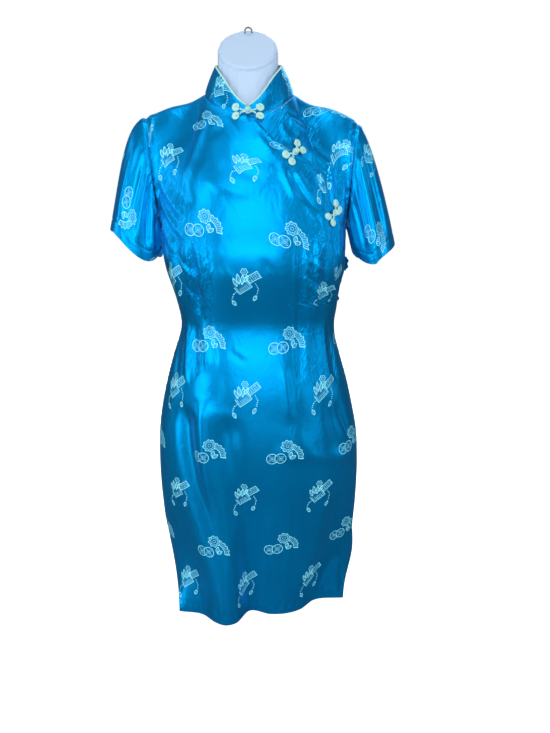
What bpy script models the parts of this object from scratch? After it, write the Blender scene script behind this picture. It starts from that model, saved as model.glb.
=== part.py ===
"""Cheongsam of satin brocade on a limbless dress form, in metres, +Z up.

The front faces -Y, the viewer's right is +X, and the origin is the centre of the base plate's
underside. Each cloth piece is a wall: a grid of outer points and the same grid moved inwards.
On the body a point is named by "side", from -1 at the left seam through 0 at the centre to 1 at
the right seam, by its height, and by whether it is on the front or on the back.
"""

import math

import bmesh
import bpy
import numpy as np
from mathutils import Vector
from mathutils.bvhtree import BVHTree

# Cloth and seams
CLOTH = 0.0015  # satin with its lining
COLLAR_CLOTH = 0.0018  # stiffened
SEAM_GAP = 0.0003
OVERLAP_WHOLE = 0.999  # beyond this side the overlap reaches the seam
LAP_RISE = 0.0026  # how far the overlap lies above the yoke
LAP_FLAT = 0.08  # how far back from its edge it does so, in sides
LAP_SLOPE = 0.16  # and over how many sides it sinks back
LAP_WIDTH = 0.06  # how far the yoke reaches under it, in sides
LAP_SIDE_START = 0.33  # its reach begins this far from the side seam
LAP_NECK_START = 0.17  # and this far below the neckline
LAP_FADE = 0.10
LAP_EDGE_GAP = 0.0030  # from the overlap's edge to the yoke where it doesn't reach under
YOKE_POINT_CUT = 0.25  # share of a row cut off the yoke's pointed lower end
ARMHOLE_NORMAL_SIDE = 0.9  # nearer to the armhole the surface is too sheared to give normals
MITRE_LEAST = 0.4  # seams sharper than this cosine of half their turn aren't mitred
CORNER_GAP = 1.5  # a panel's corner lies on two seams and moves away from both

# Heights
HEM_Z = 0.012
SLIT_TOP_Z = 0.165
FLARE_TOP_Z = 0.42  # the skirt's hem folds fade out here
UNDERARM_Z = 0.745

# Grids
SKIRT_ROWS = 22
BODICE_ROWS = 9  # also half the points round a sleeve
FRONT_COLUMNS = 28
YOKE_COLUMNS = 14
BACK_COLUMNS = 20
SLEEVE_ROWS = 7
COLLAR_ROWS = 3
FORM_COLUMNS = 20

# Sections below the arms: height, left and right edges, front and back faces
SECTION_ROUNDNESS = 2.25  # 2 is an ellipse
SECTIONS = np.array((
    (0.745, -0.157, 0.160, -0.112, 0.097),
    (0.700, -0.156, 0.160, -0.124, 0.098),
    (0.673, -0.152, 0.160, -0.122, 0.096),
    (0.630, -0.140, 0.151, -0.108, 0.089),
    (0.600, -0.133, 0.148, -0.098, 0.082),
    (0.578, -0.130, 0.145, -0.094, 0.080),
    (0.550, -0.135, 0.147, -0.096, 0.085),
    (0.520, -0.145, 0.155, -0.102, 0.095),
    (0.466, -0.161, 0.171, -0.110, 0.109),
    (0.420, -0.172, 0.182, -0.112, 0.114),
    (0.370, -0.180, 0.192, -0.114, 0.116),
    (0.320, -0.183, 0.196, -0.113, 0.115),
    (0.216, -0.182, 0.196, -0.106, 0.108),
    (0.165, -0.179, 0.194, -0.103, 0.104),
    (0.090, -0.171, 0.198, -0.097, 0.100),
    (0.010, -0.158, 0.186, -0.088, 0.096),
))

# The front's hem seen from above: side, x, y, height
FRONT_HEM = np.array((
    (-1.00, -0.149, -0.079, 0.013),
    (-0.75, -0.103, -0.083, 0.009),
    (-0.56, -0.075, -0.107, 0.010),
    (-0.44, -0.057, -0.117, 0.012),
    (-0.30, -0.036, -0.111, 0.012),
    (-0.10, -0.012, -0.078, 0.013),
    (0.14, 0.030, -0.086, 0.012),
    (0.34, 0.064, -0.084, 0.013),
    (0.51, 0.090, -0.072, 0.013),
    (0.68, 0.114, -0.050, 0.015),
    (1.00, 0.176, -0.038, 0.012),
))
BACK_HEM = np.array((
    (-1.00, -0.150, 0.006, 0.013),
    (-0.50, -0.112, 0.070, 0.012),
    (0.00, 0.006, 0.096, 0.012),
    (0.50, 0.122, 0.070, 0.012),
    (1.00, 0.168, 0.010, 0.013),
))

# Folds of the front: x and height of the upper end, of the lower end, width, rise
FOLDS = np.array((
    (-0.118, 0.450, -0.112, 0.040, 0.016, -0.010),
    (-0.084, 0.470, -0.062, 0.020, 0.019, 0.009),
    (-0.050, 0.440, -0.012, 0.020, 0.022, -0.008),
    (-0.100, 0.730, -0.088, 0.585, 0.010, -0.005),
    (-0.125, 0.700, -0.112, 0.600, 0.008, 0.003),
    (0.082, 0.740, 0.082, 0.470, 0.008, -0.003),
    (0.100, 0.745, 0.102, 0.580, 0.009, 0.003),
    (0.060, 0.420, 0.110, 0.330, 0.024, 0.003),
    (0.135, 0.460, 0.160, 0.330, 0.014, -0.004),
))
FOLD_FADE = 0.045  # length over which a fold's end dies away

# Neckline: centre, half width, reach to the front and back, heights
NECK_X = -0.004
NECK_Y = 0.005
NECK_Z = 0.950
NECK_HALF_WIDTH = 0.073
NECK_FRONT = 0.077
NECK_FRONT_DROP = 0.039
NECK_BACK = 0.050
NECK_BACK_RISE = 0.008

# Shoulders: fraction from the neck to the tip, height on the left and on the right
SHOULDER_TIP_X = 0.1755
SHOULDERS = np.array((
    (0.00, 0.950, 0.950),
    (0.20, 0.940, 0.938),
    (0.60, 0.9305, 0.928),
    (0.85, 0.9215, 0.917),
    (1.00, 0.916, 0.907),
))

# The bodice's curves: how far they start upwards, round the arm (towards the front or back, up),
# and how they end at the neckline, along the shoulder and at its tip
BODICE_REACH = 0.062
ROUND_ARM_REACH = (0.052, 0.010)
NECK_FRONT_REACH = (0.0, 0.026, 0.048)
NECK_BACK_REACH = (0.0, -0.020, 0.055)
SHOULDER_REACH = 0.030
TIP_REACH = (0.012, 0.046, 0.016)

# Edge of the overlap: height, x
OVERLAP = np.array((
    (0.600, 0.156), (0.640, 0.140), (0.690, 0.131), (0.740, 0.1245), (0.787, 0.1205),
    (0.812, 0.1155), (0.832, 0.1035), (0.846, 0.085), (0.858, 0.060), (0.872, 0.038),
    (0.890, 0.019), (0.911, -0.004),
))

# Collar: angle from the front centre in degrees, height along the slope
COLLAR_GAP_DEGREES = 2.5
COLLAR_HEIGHTS = np.array((
    (0, 0.010), (15, 0.021), (30, 0.033), (45, 0.0415), (60, 0.0445), (90, 0.0455), (180, 0.046),
))
COLLAR_LEAN = dict(side=0.40, front=0.27, back=0.22, up=0.93)
PIPING_RADIUS = 0.0014

# Sleeves: centre of the hem, half width across, half depth, dip of the hem and its skew, how hard
# it is pinched into edges (1 is round), and how the shoulder starts outwards and down
SLEEVES = {
    "left": dict(way=-1, centre=(-0.2031, 0.002, 0.7207), across=(-0.0431, 0.0, 0.0116),
                 depth=0.055, dip=0.0165, skew=1.95, pinch=1.0, shoulder=(0.041, -0.008)),
    "right": dict(way=1, centre=(0.2094, 0.002, 0.7131), across=(0.0375, 0.0, 0.0014),
                  depth=0.055, dip=0.0293, skew=0.50, pinch=1.6, shoulder=(0.020, -0.014)),
}
SLEEVE_UNDER_START = (0.003, -0.012)
SLEEVE_BESIDE_START = (0.016, -0.030)
SLEEVE_FORWARD_START = -0.008
SLEEVE_OVER_END = (0.022, -0.085)
SLEEVE_UNDER_END = (0.004, -0.014)
SLEEVE_BESIDE_END = (0.016, -0.040)

# Frogs: x and height of the knot, tilt of the frog in degrees, distance of its disc pairs
FROGS = {
    "neck": (-0.003, 0.9130, 0.0, 0.0375),
    "chest": (0.067, 0.8540, 38.0, 0.0300),
    "side": (0.131, 0.7640, 42.0, 0.0300),
}
DISC_RADIUS = 0.0069
DISC_HEIGHT = 0.0026
DISC_OFFSET = 0.0072  # from the frog's centre line
STEM_WIDTH = 0.0034
STEM_HEIGHT = 0.0011
LOOP_RADIUS = 0.0040
LOOP_CORD_RADIUS = 0.0011
LOOP_HEIGHT = 0.0026
KNOT_RADIUS = 0.0042
KNOT_HEIGHT = 0.0067
KNOT_NECK_RADIUS = 0.0018
DISC_BEVEL = 0.0008
STEM_PAST_DISCS = 0.004
FROG_SEARCH = 0.007  # the cloth's place under a frog is the mean of points this far apart
FROG_REACH = 0.030  # from which it is looked for, and how far off it may be
FROG_OFF = 0.012

# Loose end of the placket: sides, heights, lift off the back and flare at its free edge
TAB_SIDES = (0.93, 0.80)
TAB_HEIGHTS = (0.668, 0.690)
TAB_LIFT = 0.0006
TAB_FLARE = 0.006

# Form and stand
FORM_LOW_Z = 0.235
FORM_ROOM = np.array((  # level, room under the cloth
    (0.0, 0.014), (0.6, 0.014), (0.72, 0.008), (1.0, 0.006), (1.4, 0.005), (2.0, 0.005),
))
FORM_SEAT = 0.0012  # at the shoulders, which carry the dress
FORM_ARM_SIDE = 0.90  # the form's arm plates stand this share out to the armholes
FORM_TOP_RISE = 0.93  # share of the bodice's rise where the neck begins
FORM_PARTING = 0.002  # between its front and back rows at the sides
THROAT_CENTRE = (-0.0045, -0.008, 0.951)
THROAT_HALF_WIDTH = 0.0495
THROAT_HALF_DEPTH = 0.0490
THROAT_SLANT = 0.012
CAP_CENTRE = (-0.0050, -0.008, 1.0135)
CAP_SLANT_DEGREES = 45.7
CAP_HALF_WIDTH = 0.0480
CAP_HALF_LENGTH = 0.0510
CAP_LIP = 0.0055
CAP_CROWN = 0.0022
CAP_EDGE = 0.0015
CAP_SIDE = 0.003
EYE_RADIUS = 0.0055
EYE_WIRE_RADIUS = 0.0013
EYE_FROM_RIM = 0.011
EYE_LEG = 0.003
POLE_RADIUS = 0.016
BASE_HALF_WIDTH = 0.115
BASE_HALF_DEPTH = 0.060
BASE_HEIGHT = 0.010

# Name: colour, roughness, metallic
MATERIALS = {
    "satin": ((0.0, 0.22, 0.62, 1), 0.35, 0.0),
    "cord": ((0.60, 0.86, 0.82, 1), 0.45, 0.0),
    "plastic": ((0.72, 0.80, 0.90, 1), 0.4, 0.0),
    "steel": ((0.35, 0.36, 0.38, 1), 0.35, 1.0),
    "lacquer": ((0.80, 0.82, 0.85, 1), 0.4, 0.0),
}


def unit(vectors):
    """The same directions, one long."""
    return vectors / np.linalg.norm(vectors, axis=-1, keepdims=True)


def smooth(value):
    """0 below 0, 1 above 1 and a soft step between."""
    value = np.clip(value, 0.0, 1.0)
    return value * value * (3 - 2 * value)


def read_table(rows, at):
    """Values of a table at a position in its first column, on a cubic through its rows."""
    rows = rows[np.argsort(rows[:, 0])]
    key, value = rows[:, 0], rows[:, 1:]
    slope = np.gradient(value, key, axis=0)
    at = np.clip(np.asarray(at, float), key[0], key[-1])
    low = np.clip(np.searchsorted(key, at) - 1, 0, len(key) - 2)
    step = (key[low + 1] - key[low])[..., None]
    f = (at - key[low])[..., None] / step
    start = (1 + 2 * f) * (1 - f) ** 2 * value[low] + f * (1 - f) ** 2 * step * slope[low]
    end = f * f * (3 - 2 * f) * value[low + 1] + f * f * (f - 1) * step * slope[low + 1]
    return start + end


def bezier(start, start_reach, end_reach, end, f):
    """Cubic from start to end; the reaches are its handles' vectors."""
    f = f[..., None]
    return (
        (1 - f) ** 3 * start
        + 3 * f * (1 - f) ** 2 * (start + start_reach)
        + 3 * f * f * (1 - f) * (end - end_reach)
        + f ** 3 * end
    )


def fold_rise(x, z):
    """Height of the front's folds: soft ridges and troughs along slanted lines."""
    x, z = x[..., None], z[..., None]
    top_x, top_z, low_x, low_z, width, rise = FOLDS.T
    along = (top_z - z) / (top_z - low_z)
    away = (x - (top_x + (low_x - top_x) * along)) / width
    fade = smooth((top_z - z) / FOLD_FADE) * smooth((z - low_z) / FOLD_FADE)
    return (rise * fade * np.exp(-away * away)).sum(axis=-1)


def girth(side, z, back=False, folded=True):
    """Point of the dress below the arms, with or without its folds."""
    side, z = np.broadcast_arrays(np.asarray(side, float), np.asarray(z, float))
    left, right, front_y, back_y = np.moveaxis(read_table(SECTIONS, z), -1, 0)
    half = (right - left) / 2
    depth = back_y if back else -front_y
    angle = side * math.pi / 2
    around = np.arctan2(half * np.sin(angle), depth * np.cos(angle))
    across = np.abs(np.sin(around) / half) ** SECTION_ROUNDNESS
    onward = np.abs(np.cos(around) / depth) ** SECTION_ROUNDNESS
    radius = (across + onward) ** (-1 / SECTION_ROUNDNESS)
    x = (left + right) / 2 + radius * np.sin(around)
    away = radius * np.cos(around)
    if folded and not back:
        rise = fold_rise(x, z) * (1 - side ** 8)
        x = x + rise * np.sin(angle)
        away = away + rise * np.cos(angle)
    y = away if back else -away
    flare_top = SLIT_TOP_Z + (FLARE_TOP_Z - SLIT_TOP_Z) * (1 - side ** 4) * (not back)
    flare = smooth((flare_top - z) / (flare_top - HEM_Z)) ** (1 + side ** 4)
    hem = read_table(BACK_HEM if back else FRONT_HEM, side)
    x = x + (hem[..., 0] - x) * flare
    y = y + (hem[..., 1] - y) * flare
    return np.stack([x, y, z + (hem[..., 2] - HEM_Z) * flare], axis=-1)


def top_line(side, back):
    """Neckline for sides up to a half, and beyond it the shoulder seam out to its tip."""
    side = np.asarray(side, float)
    way = np.where(side < 0, -1.0, 1.0)
    angle = np.clip(np.abs(side) / 0.5, 0, 1) * math.pi / 2
    reach = NECK_BACK if back else -NECK_FRONT
    rise = NECK_BACK_RISE * np.cos(angle) if back else -NECK_FRONT_DROP * np.cos(angle) ** 1.5
    out = np.clip((np.abs(side) - 0.5) / 0.5, 0, 1)
    neck_x = NECK_X + way * NECK_HALF_WIDTH * np.sin(angle)
    heights = read_table(SHOULDERS, out)
    shoulder_z = np.where(side < 0, heights[..., 0], heights[..., 1])
    x = neck_x + (way * SHOULDER_TIP_X - neck_x) * out
    y = NECK_Y + reach * np.cos(angle)
    z = np.where(out > 0, shoulder_z, NECK_Z + rise)
    return np.stack([x, y, z], axis=-1)


def bodice(side, rise, back=False):
    """Point above the arms' level: rise runs from 0 there to 1 at neckline and shoulders."""
    side, rise = np.broadcast_arrays(np.asarray(side, float), np.asarray(rise, float))
    low = girth(side, UNDERARM_Z, back)
    slope = (low - girth(side, UNDERARM_Z - 0.004, back)) / 0.004
    way = np.where(side < 0, -1.0, 1.0)[..., None]
    facing = 1.0 if back else -1.0
    armhole = (side ** 6)[..., None]
    round_arm = np.array((0.0, facing * ROUND_ARM_REACH[0], ROUND_ARM_REACH[1]))
    low_reach = slope * BODICE_REACH * (1 - armhole) + round_arm * armhole
    neck_reach = np.array(NECK_BACK_REACH if back else NECK_FRONT_REACH)
    shoulder_reach = np.array((0.0, -facing * SHOULDER_REACH, 0.0))
    tip_reach = way * (TIP_REACH[0], 0.0, 0.0) + (0.0, -facing * TIP_REACH[1], TIP_REACH[2])
    from_neck = smooth(np.abs(side) / 0.5)[..., None]
    from_tip = smooth((np.abs(side) - 0.6) / 0.4)[..., None]
    top_reach = neck_reach * (1 - from_neck) + shoulder_reach * from_neck
    top_reach = top_reach * (1 - from_tip) + tip_reach * from_tip
    return bezier(low, low_reach, top_reach, top_line(side, back), rise)


def body(side, level, back=False, folded=True):
    """Point of the body: levels up to 1 climb from hem to underarm, and from 1 to 2 the bodice."""
    side, level = np.broadcast_arrays(np.asarray(side, float), np.asarray(level, float))
    skirt = girth(side, HEM_Z + (UNDERARM_Z - HEM_Z) * np.clip(level, 0, 1), back, folded)
    chest = bodice(side, np.clip(level - 1, 0, 1), back)
    return np.where((level > 1)[..., None], chest, skirt)


def normals(surface, first, second):
    """Outward normals of surface(first, second), from its slopes."""
    step = 1e-4
    along = surface(first + step, second) - surface(first - step, second)
    up = surface(first, second + step) - surface(first, second - step)
    return unit(np.cross(along, up))


def body_normals(side, level, back=False, folded=True):
    """Outward normals of the body."""
    side, level = np.broadcast_arrays(np.asarray(side, float), np.asarray(level, float))
    widest = np.where(level > 1, ARMHOLE_NORMAL_SIDE, 0.9998)
    found = normals(lambda a, b: body(a, b, back, folded), np.clip(side, -widest, widest),
                    np.clip(level, 0.0002, 1.9998))
    return -found if back else found


def overlap_side(level):
    """Side of the overlap's edge at each level, by halving."""
    low, high = np.full(level.shape, -0.3), np.ones(level.shape)
    for _ in range(40):
        middle = (low + high) / 2
        point = body(middle, level)
        beyond = point[..., 0] > read_table(OVERLAP, point[..., 2])[..., 0]
        beyond &= point[..., 2] > OVERLAP[0, 0]
        high = np.where(beyond, middle, high)
        low = np.where(beyond, low, middle)
    high = np.where(high > OVERLAP_WHOLE, 1.0, high)
    return np.where(level >= 2, 0.0, high)


def lap_share(level, edge, side_start, neck_start):
    """1 along the overlap's middle, fading out towards the side seam and the neckline."""
    from_side = smooth((1 - edge - side_start) / LAP_FADE)
    return from_side * smooth((2 - level - neck_start) / LAP_FADE)


class Wall:
    """A cloth piece: outer points in rows and columns, and the way from each to its inner point."""

    def __init__(self, outer, out, thickness):
        self.outer, self.thickness = outer, thickness
        self.inward = -out * thickness
        self.shift = np.zeros_like(outer)
        self.seams = np.zeros(outer.shape[:2], int)

    def join(self, rows, columns, here, there):
        """Mitres the edge in these rows and columns, which meets a piece with normals there."""
        points = self.outer[rows, columns]
        steps = unit(np.diff(points, axis=0))
        along = np.concatenate([steps[:1], (steps[:-1] + steps[1:]) / 2, steps[-1:]])
        straight = np.linalg.norm(along, axis=-1, keepdims=True)
        along = along / straight
        here = unit(here - along * (here * along).sum(axis=-1, keepdims=True))
        there = unit(there - along * (there * along).sum(axis=-1, keepdims=True))
        mean = unit(here + there)
        back = unit(np.cross(along, mean))
        inner_row = self.inner_neighbour(rows, columns)
        ahead = ((inner_row - points) * back).sum(axis=-1, keepdims=True)
        back = back * np.where(ahead > 0, 1.0, -1.0)
        lean = (here * mean).sum(axis=-1, keepdims=True)
        mitred = smooth((lean - MITRE_LEAST) / (1 - MITRE_LEAST) * 2)
        way = -mean / np.maximum(lean, MITRE_LEAST) * mitred - here * (1 - mitred)
        way = way * self.thickness
        met = self.seams[rows, columns][..., None]
        self.inward[rows, columns] = np.where(met > 0, (self.inward[rows, columns] + way) / 2, way)
        gap = SEAM_GAP / 2 / straight * np.where(met > 0, CORNER_GAP, 1.0)
        self.shift[rows, columns] += back * gap
        self.seams[rows, columns] += 1

    def inner_neighbour(self, rows, columns):
        """Points one grid step into the piece from this edge."""
        if isinstance(columns, int):
            return self.outer[rows, 1 if columns == 0 else columns - 1]
        return self.outer[1 if rows == 0 else rows - 1, columns]

    def grids(self):
        """Outer and inner points."""
        outer = self.outer + self.shift
        return outer, outer + self.inward


def grid_faces(rows, columns, wrap):
    """Faces of a wall whose outer points come first, then its inner ones."""
    index = np.arange(rows * columns).reshape(rows, columns)
    if wrap:
        index = np.concatenate([index, index[:, :1]], axis=1)
    inner = index + rows * columns
    quads = [
        (index[:-1, :-1], index[:-1, 1:], index[1:, 1:], index[1:, :-1]),
        (inner[1:, :-1], inner[1:, 1:], inner[:-1, 1:], inner[:-1, :-1]),
        (inner[0, :-1], inner[0, 1:], index[0, 1:], index[0, :-1]),
        (index[-1, :-1], index[-1, 1:], inner[-1, 1:], inner[-1, :-1]),
    ]
    if not wrap:
        quads.append((inner[1:, 0], inner[:-1, 0], index[:-1, 0], index[1:, 0]))
        quads.append((index[1:, -1], index[:-1, -1], inner[:-1, -1], inner[1:, -1]))
    return np.concatenate([np.stack([part.ravel() for part in quad], axis=1) for quad in quads])


def material(name):
    """The named Principled material, made on its first use."""
    if name not in bpy.data.materials:
        colour, roughness, metallic = MATERIALS[name]
        made = bpy.data.materials.new(name)
        made.use_nodes = True
        shader = made.node_tree.nodes["Principled BSDF"]
        shader.inputs["Base Color"].default_value = colour
        shader.inputs["Roughness"].default_value = roughness
        shader.inputs["Metallic"].default_value = metallic
    return bpy.data.materials[name]


def add_object(name, points, faces, finish):
    """One closed mesh as a named object."""
    mesh = bpy.data.meshes.new(name)
    mesh.from_pydata([tuple(map(float, p)) for p in points], [], [tuple(map(int, f)) for f in faces])
    made = bpy.data.objects.new(name, mesh)
    bpy.context.scene.collection.objects.link(made)
    mesh.materials.append(material(finish))
    mesh.shade_smooth()
    mesh.set_sharp_from_angle(angle=math.radians(50))
    return made


def add_wall(name, wall, finish, wrap=False):
    """A wall as an object."""
    outer, inner = wall.grids()
    rows, columns = outer.shape[:2]
    points = np.concatenate([outer.reshape(-1, 3), inner.reshape(-1, 3)])
    return add_object(name, points, grid_faces(rows, columns, wrap), finish)


def sleeve(shape, ring, along):
    """Point of a sleeve: ring runs 0 at the shoulder, 1 under the arm, 2 back at the shoulder."""
    ring, along = np.broadcast_arrays(np.asarray(ring, float), np.asarray(along, float))
    way = shape["way"]
    ring = ring % 2
    front = bodice(way, np.clip(1 - ring, 0, 1))
    rear = bodice(way, np.clip(ring - 1, 0, 1), back=True)
    start = np.where((ring <= 1)[..., None], front, rear)
    angle = ring * math.pi
    cos, sin = np.cos(angle)[..., None], np.sin(angle)[..., None]
    depth = np.array((0.0, -shape["depth"], 0.0))
    dip = np.array((0.0, 0.0, -shape["dip"])) * np.abs(sin) * (1 - shape["skew"] * cos)
    pinched = np.sign(cos) * np.abs(cos) ** shape["pinch"]
    end = np.array(shape["centre"]) + np.array(shape["across"]) * pinched + depth * sin + dip
    shares = np.clip(cos, 0, 1) ** 2, np.clip(-cos, 0, 1) ** 2, sin ** 2
    leads = shape["shoulder"], SLEEVE_UNDER_START, SLEEVE_BESIDE_START
    pulls = SLEEVE_OVER_END, SLEEVE_UNDER_END, SLEEVE_BESIDE_END
    lead = sum(share * (way * x, 0.0, z) for share, (x, z) in zip(shares, leads))
    lead = lead + sin * (0.0, SLEEVE_FORWARD_START, 0.0)
    pull = sum(share * (way * x, 0.0, z) for share, (x, z) in zip(shares, pulls))
    return bezier(start, lead, pull, end, along)


def sleeve_normals(shape, ring, along):
    """Outward normals of a sleeve."""
    ring, along = np.broadcast_arrays(np.asarray(ring, float), np.asarray(along, float))
    found = normals(lambda a, b: sleeve(shape, a, b), ring, np.clip(along, 0.01, 0.99))
    return found * shape["way"]


def collar_dir(turn):
    """Way up along the collar: turn is 0 at the front centre, 90 at the right, 180 at the back."""
    angle = np.radians(turn)
    lean = np.where(np.cos(angle) > 0, COLLAR_LEAN["front"], COLLAR_LEAN["back"])
    inward = -COLLAR_LEAN["side"] * np.sin(angle)
    return unit(np.stack([inward, lean * np.cos(angle), COLLAR_LEAN["up"] + 0 * angle], axis=-1))


def collar_base(turn):
    """Point of the neckline at a turn."""
    turn = np.asarray(turn, float)
    front_side = np.where(turn <= 180, turn / 180, (turn - 360) / 180)
    at_front = np.abs(front_side) <= 0.5
    front = top_line(np.where(at_front, front_side, 0.5), False)
    rear = top_line(np.where(at_front, 0.5, (180 - turn) / 180), True)
    return np.where(at_front[..., None], front, rear)


def collar(turn, up):
    """Point of the collar's outer face: up runs from 0 at the neckline to 1 at the top edge."""
    turn, up = np.broadcast_arrays(np.asarray(turn, float), np.asarray(up, float))
    from_front = np.minimum(turn, 360 - turn)
    height = read_table(COLLAR_HEIGHTS, from_front)[..., 0] * up
    return collar_base(turn) + collar_dir(turn) * height[..., None]


def collar_normals(turn, up):
    """Outward normals of the collar."""
    along = collar_base(turn + 0.5) - collar_base(turn - 0.5)
    return unit(np.cross(along, collar_dir(turn))) + 0 * np.asarray(up)[..., None]


def levels():
    """Levels of the body's rows, the slit's top among them."""
    slit = (SLIT_TOP_Z - HEM_Z) / (UNDERARM_Z - HEM_Z)
    low = max(2, round(SKIRT_ROWS * slit))
    below = np.linspace(0, slit, low, endpoint=False)
    above = np.linspace(slit, 1, SKIRT_ROWS - low, endpoint=False)
    return np.concatenate([below, above, np.linspace(1, 2, BODICE_ROWS + 1)])


def join_side(wall, rows, column, side):
    """Side seam between front and back in these rows."""
    level = levels()[rows]
    there = np.full(level.shape, float(side))
    wall.join(rows, column, body_normals(there, level), body_normals(there, level, back=True))


def seam_rows():
    """Rows where the side seam begins above the slit and where it meets the armhole."""
    level = levels()
    slit = int(np.argmin(np.abs(level - (SLIT_TOP_Z - HEM_Z) / (UNDERARM_Z - HEM_Z))))
    return slit, len(level) - BODICE_ROWS - 1


def join_armhole(wall, rows, column, way, back):
    """Armhole seam with the sleeve."""
    rise = np.linspace(0, 1, BODICE_ROWS + 1)
    shape = SLEEVES["left" if way < 0 else "right"]
    ring = 1 + rise if back else 1 - rise
    here = body_normals(np.full(rise.shape, float(way)), 1 + rise, back)
    there = sleeve_normals(shape, ring, np.zeros_like(ring))
    wall.join(rows, column, here, there)


def join_top(wall, sides, back):
    """Top edge of a panel: neckline for sides up to a half, and shoulder beyond."""
    last = wall.outer.shape[0] - 1
    here = body_normals(sides, np.full(sides.shape, 2.0), back)
    mirrored = body_normals(sides, np.full(sides.shape, 2.0), not back)
    turn = (180 - sides * 180) if back else sides * 180
    above = collar_normals(turn % 360, np.zeros_like(sides))
    shoulder = (np.abs(sides) > 0.5)[..., None]
    upright = unit((here + mirrored) * np.array((1.0, 0.0, 1.0)))
    here, there = np.where(shoulder, upright, here), np.where(shoulder, upright, above)
    wall.join(last, slice(None), here, there)
    wall.inward[last, np.abs(sides) > 0.499, 1] = 0


def front_walls():
    """The front with its overlap, and the yoke that it laps over."""
    level = levels()[:, None]
    edge = overlap_side(level[:, 0])[:, None]
    slit, underarm = seam_rows()
    share = np.linspace(0, 1, FRONT_COLUMNS + 1)[None, :]
    side = -1 + (edge + 1) * share
    out = body_normals(side, level + 0 * side)
    near = 1 - smooth((edge - side - LAP_FLAT) / LAP_SLOPE)
    lift = LAP_RISE * near * lap_share(level, edge, 0.0, 0.0)
    front = Wall(body(side, level) + out * lift[..., None], out, CLOTH)
    seam = slice(slit, underarm + 1)
    join_side(front, seam, 0, -1)
    join_armhole(front, slice(underarm, None), 0, -1, False)
    join_top(front, side[-1], False)
    last = int(np.sum(edge[:, 0] >= 1)) - 1
    join_side(front, slice(slit, last + 1), FRONT_COLUMNS, 1)

    level, edge = level[last:], edge[last:]
    under = LAP_WIDTH * lap_share(level, edge, LAP_SIDE_START, LAP_NECK_START)
    start = np.minimum(edge + LAP_EDGE_GAP - under, 1)
    side = start + (1 - start) * np.linspace(0, 1, YOKE_COLUMNS + 1)[None, :]
    outer, out = body(side, level), body_normals(side, level)
    outer[0] += (outer[1] - outer[0]) * YOKE_POINT_CUT
    out[0] = out[1]
    yoke = Wall(outer, out, CLOTH)
    armhole = underarm - last
    join_armhole(yoke, slice(armhole, None), YOKE_COLUMNS, 1, False)
    out = body_normals(np.ones(armhole + 1), level[:armhole + 1, 0])
    yoke.join(slice(0, armhole + 1), YOKE_COLUMNS, out, out)
    join_top(yoke, side[-1], False)
    return front, yoke


def back_wall():
    """The back, from the right seam round to the left one."""
    level = levels()[:, None]
    slit, underarm = seam_rows()
    side = np.linspace(1, -1, BACK_COLUMNS + 1)[None, :] + 0 * level
    out = body_normals(side, level + 0 * side, back=True)
    wall = Wall(body(side, level, back=True), out, CLOTH)
    seam = slice(slit, underarm + 1)
    join_side(wall, seam, 0, 1)
    join_side(wall, seam, BACK_COLUMNS, -1)
    join_armhole(wall, slice(underarm, None), 0, 1, True)
    join_armhole(wall, slice(underarm, None), BACK_COLUMNS, -1, True)
    join_top(wall, side[-1], True)
    return wall


def sleeve_wall(shape):
    """A sleeve as a tube, from its armhole to its hem."""
    ring = np.linspace(0, 2, 2 * BODICE_ROWS, endpoint=False)
    ring = ring if shape["way"] < 0 else ring[::-1]
    along = np.linspace(0, 1, SLEEVE_ROWS + 1)[::-1]
    around, down = np.meshgrid(ring, along)
    out = sleeve_normals(shape, around, down)
    wall = Wall(sleeve(shape, around, down), out, CLOTH)
    here = sleeve_normals(shape, ring, np.zeros_like(ring))
    way = np.full(ring.shape, float(shape["way"]))
    front = body_normals(way, 1 + np.clip(1 - ring, 0, 1))
    rear = body_normals(way, 1 + np.clip(ring - 1, 0, 1), back=True)
    there = np.where((ring <= 1)[:, None], front, rear)
    wall.join(SLEEVE_ROWS, slice(None), here, there)
    return wall


def collar_turns():
    """Turns of the collar's columns, which match those of the panels below it."""
    front_left = 180 * np.linspace(0, 0.5, FRONT_COLUMNS // 2 + 1)
    front_right = 180 * np.linspace(0, 0.5, YOKE_COLUMNS // 2 + 1)
    back = 180 * np.linspace(0.5, 1.5, BACK_COLUMNS // 2 + 1)[1:-1]
    turns = np.concatenate([front_right, back, (360 - front_left)[::-1]])
    turns[0], turns[-1] = COLLAR_GAP_DEGREES, 360 - COLLAR_GAP_DEGREES
    return turns


def collar_wall():
    """The stand collar, open at the front."""
    turns = collar_turns()
    up = np.linspace(0, 1, COLLAR_ROWS + 1)
    around, rise = np.meshgrid(turns, up)
    wall = Wall(collar(around, rise), collar_normals(around, rise), COLLAR_CLOTH)
    side = np.where(turns <= 180, turns, turns - 360) / 180
    back_side = (180 - turns) / 180
    at_front = np.abs(side) <= 0.5
    front = body_normals(np.where(at_front, side, 0.5), np.full(side.shape, 2.0))
    rear = body_normals(np.where(at_front, 0.5, back_side), np.full(side.shape, 2.0), back=True)
    below = np.where(at_front[:, None], front, rear)
    wall.join(0, slice(None), collar_normals(turns, 0 * turns), below)
    return wall


def add_tube(name, centres, across, up, radius, finish, corners=6):
    """A closed tube along centres, whose round sections lie in the planes of across and up."""
    along = np.gradient(centres, axis=0)
    facing = np.sign((np.cross(across, up) * along).sum(axis=-1).mean())
    angle = np.linspace(0, facing * 2 * math.pi, corners, endpoint=False)[None, :, None]
    rings = centres[:, None] + radius * (across[:, None] * np.cos(angle) + up[:, None] * np.sin(angle))
    count = len(centres)
    index = np.arange(count * corners).reshape(count, corners)
    after = np.roll(index, -1, axis=1)
    sides = np.stack([index[:-1], after[:-1], after[1:], index[1:]], axis=-1).reshape(-1, 4)
    faces = [tuple(face) for face in sides] + [tuple(index[0, ::-1]), tuple(index[-1])]
    return add_object(name, rings.reshape(-1, 3), faces, finish)


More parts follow.
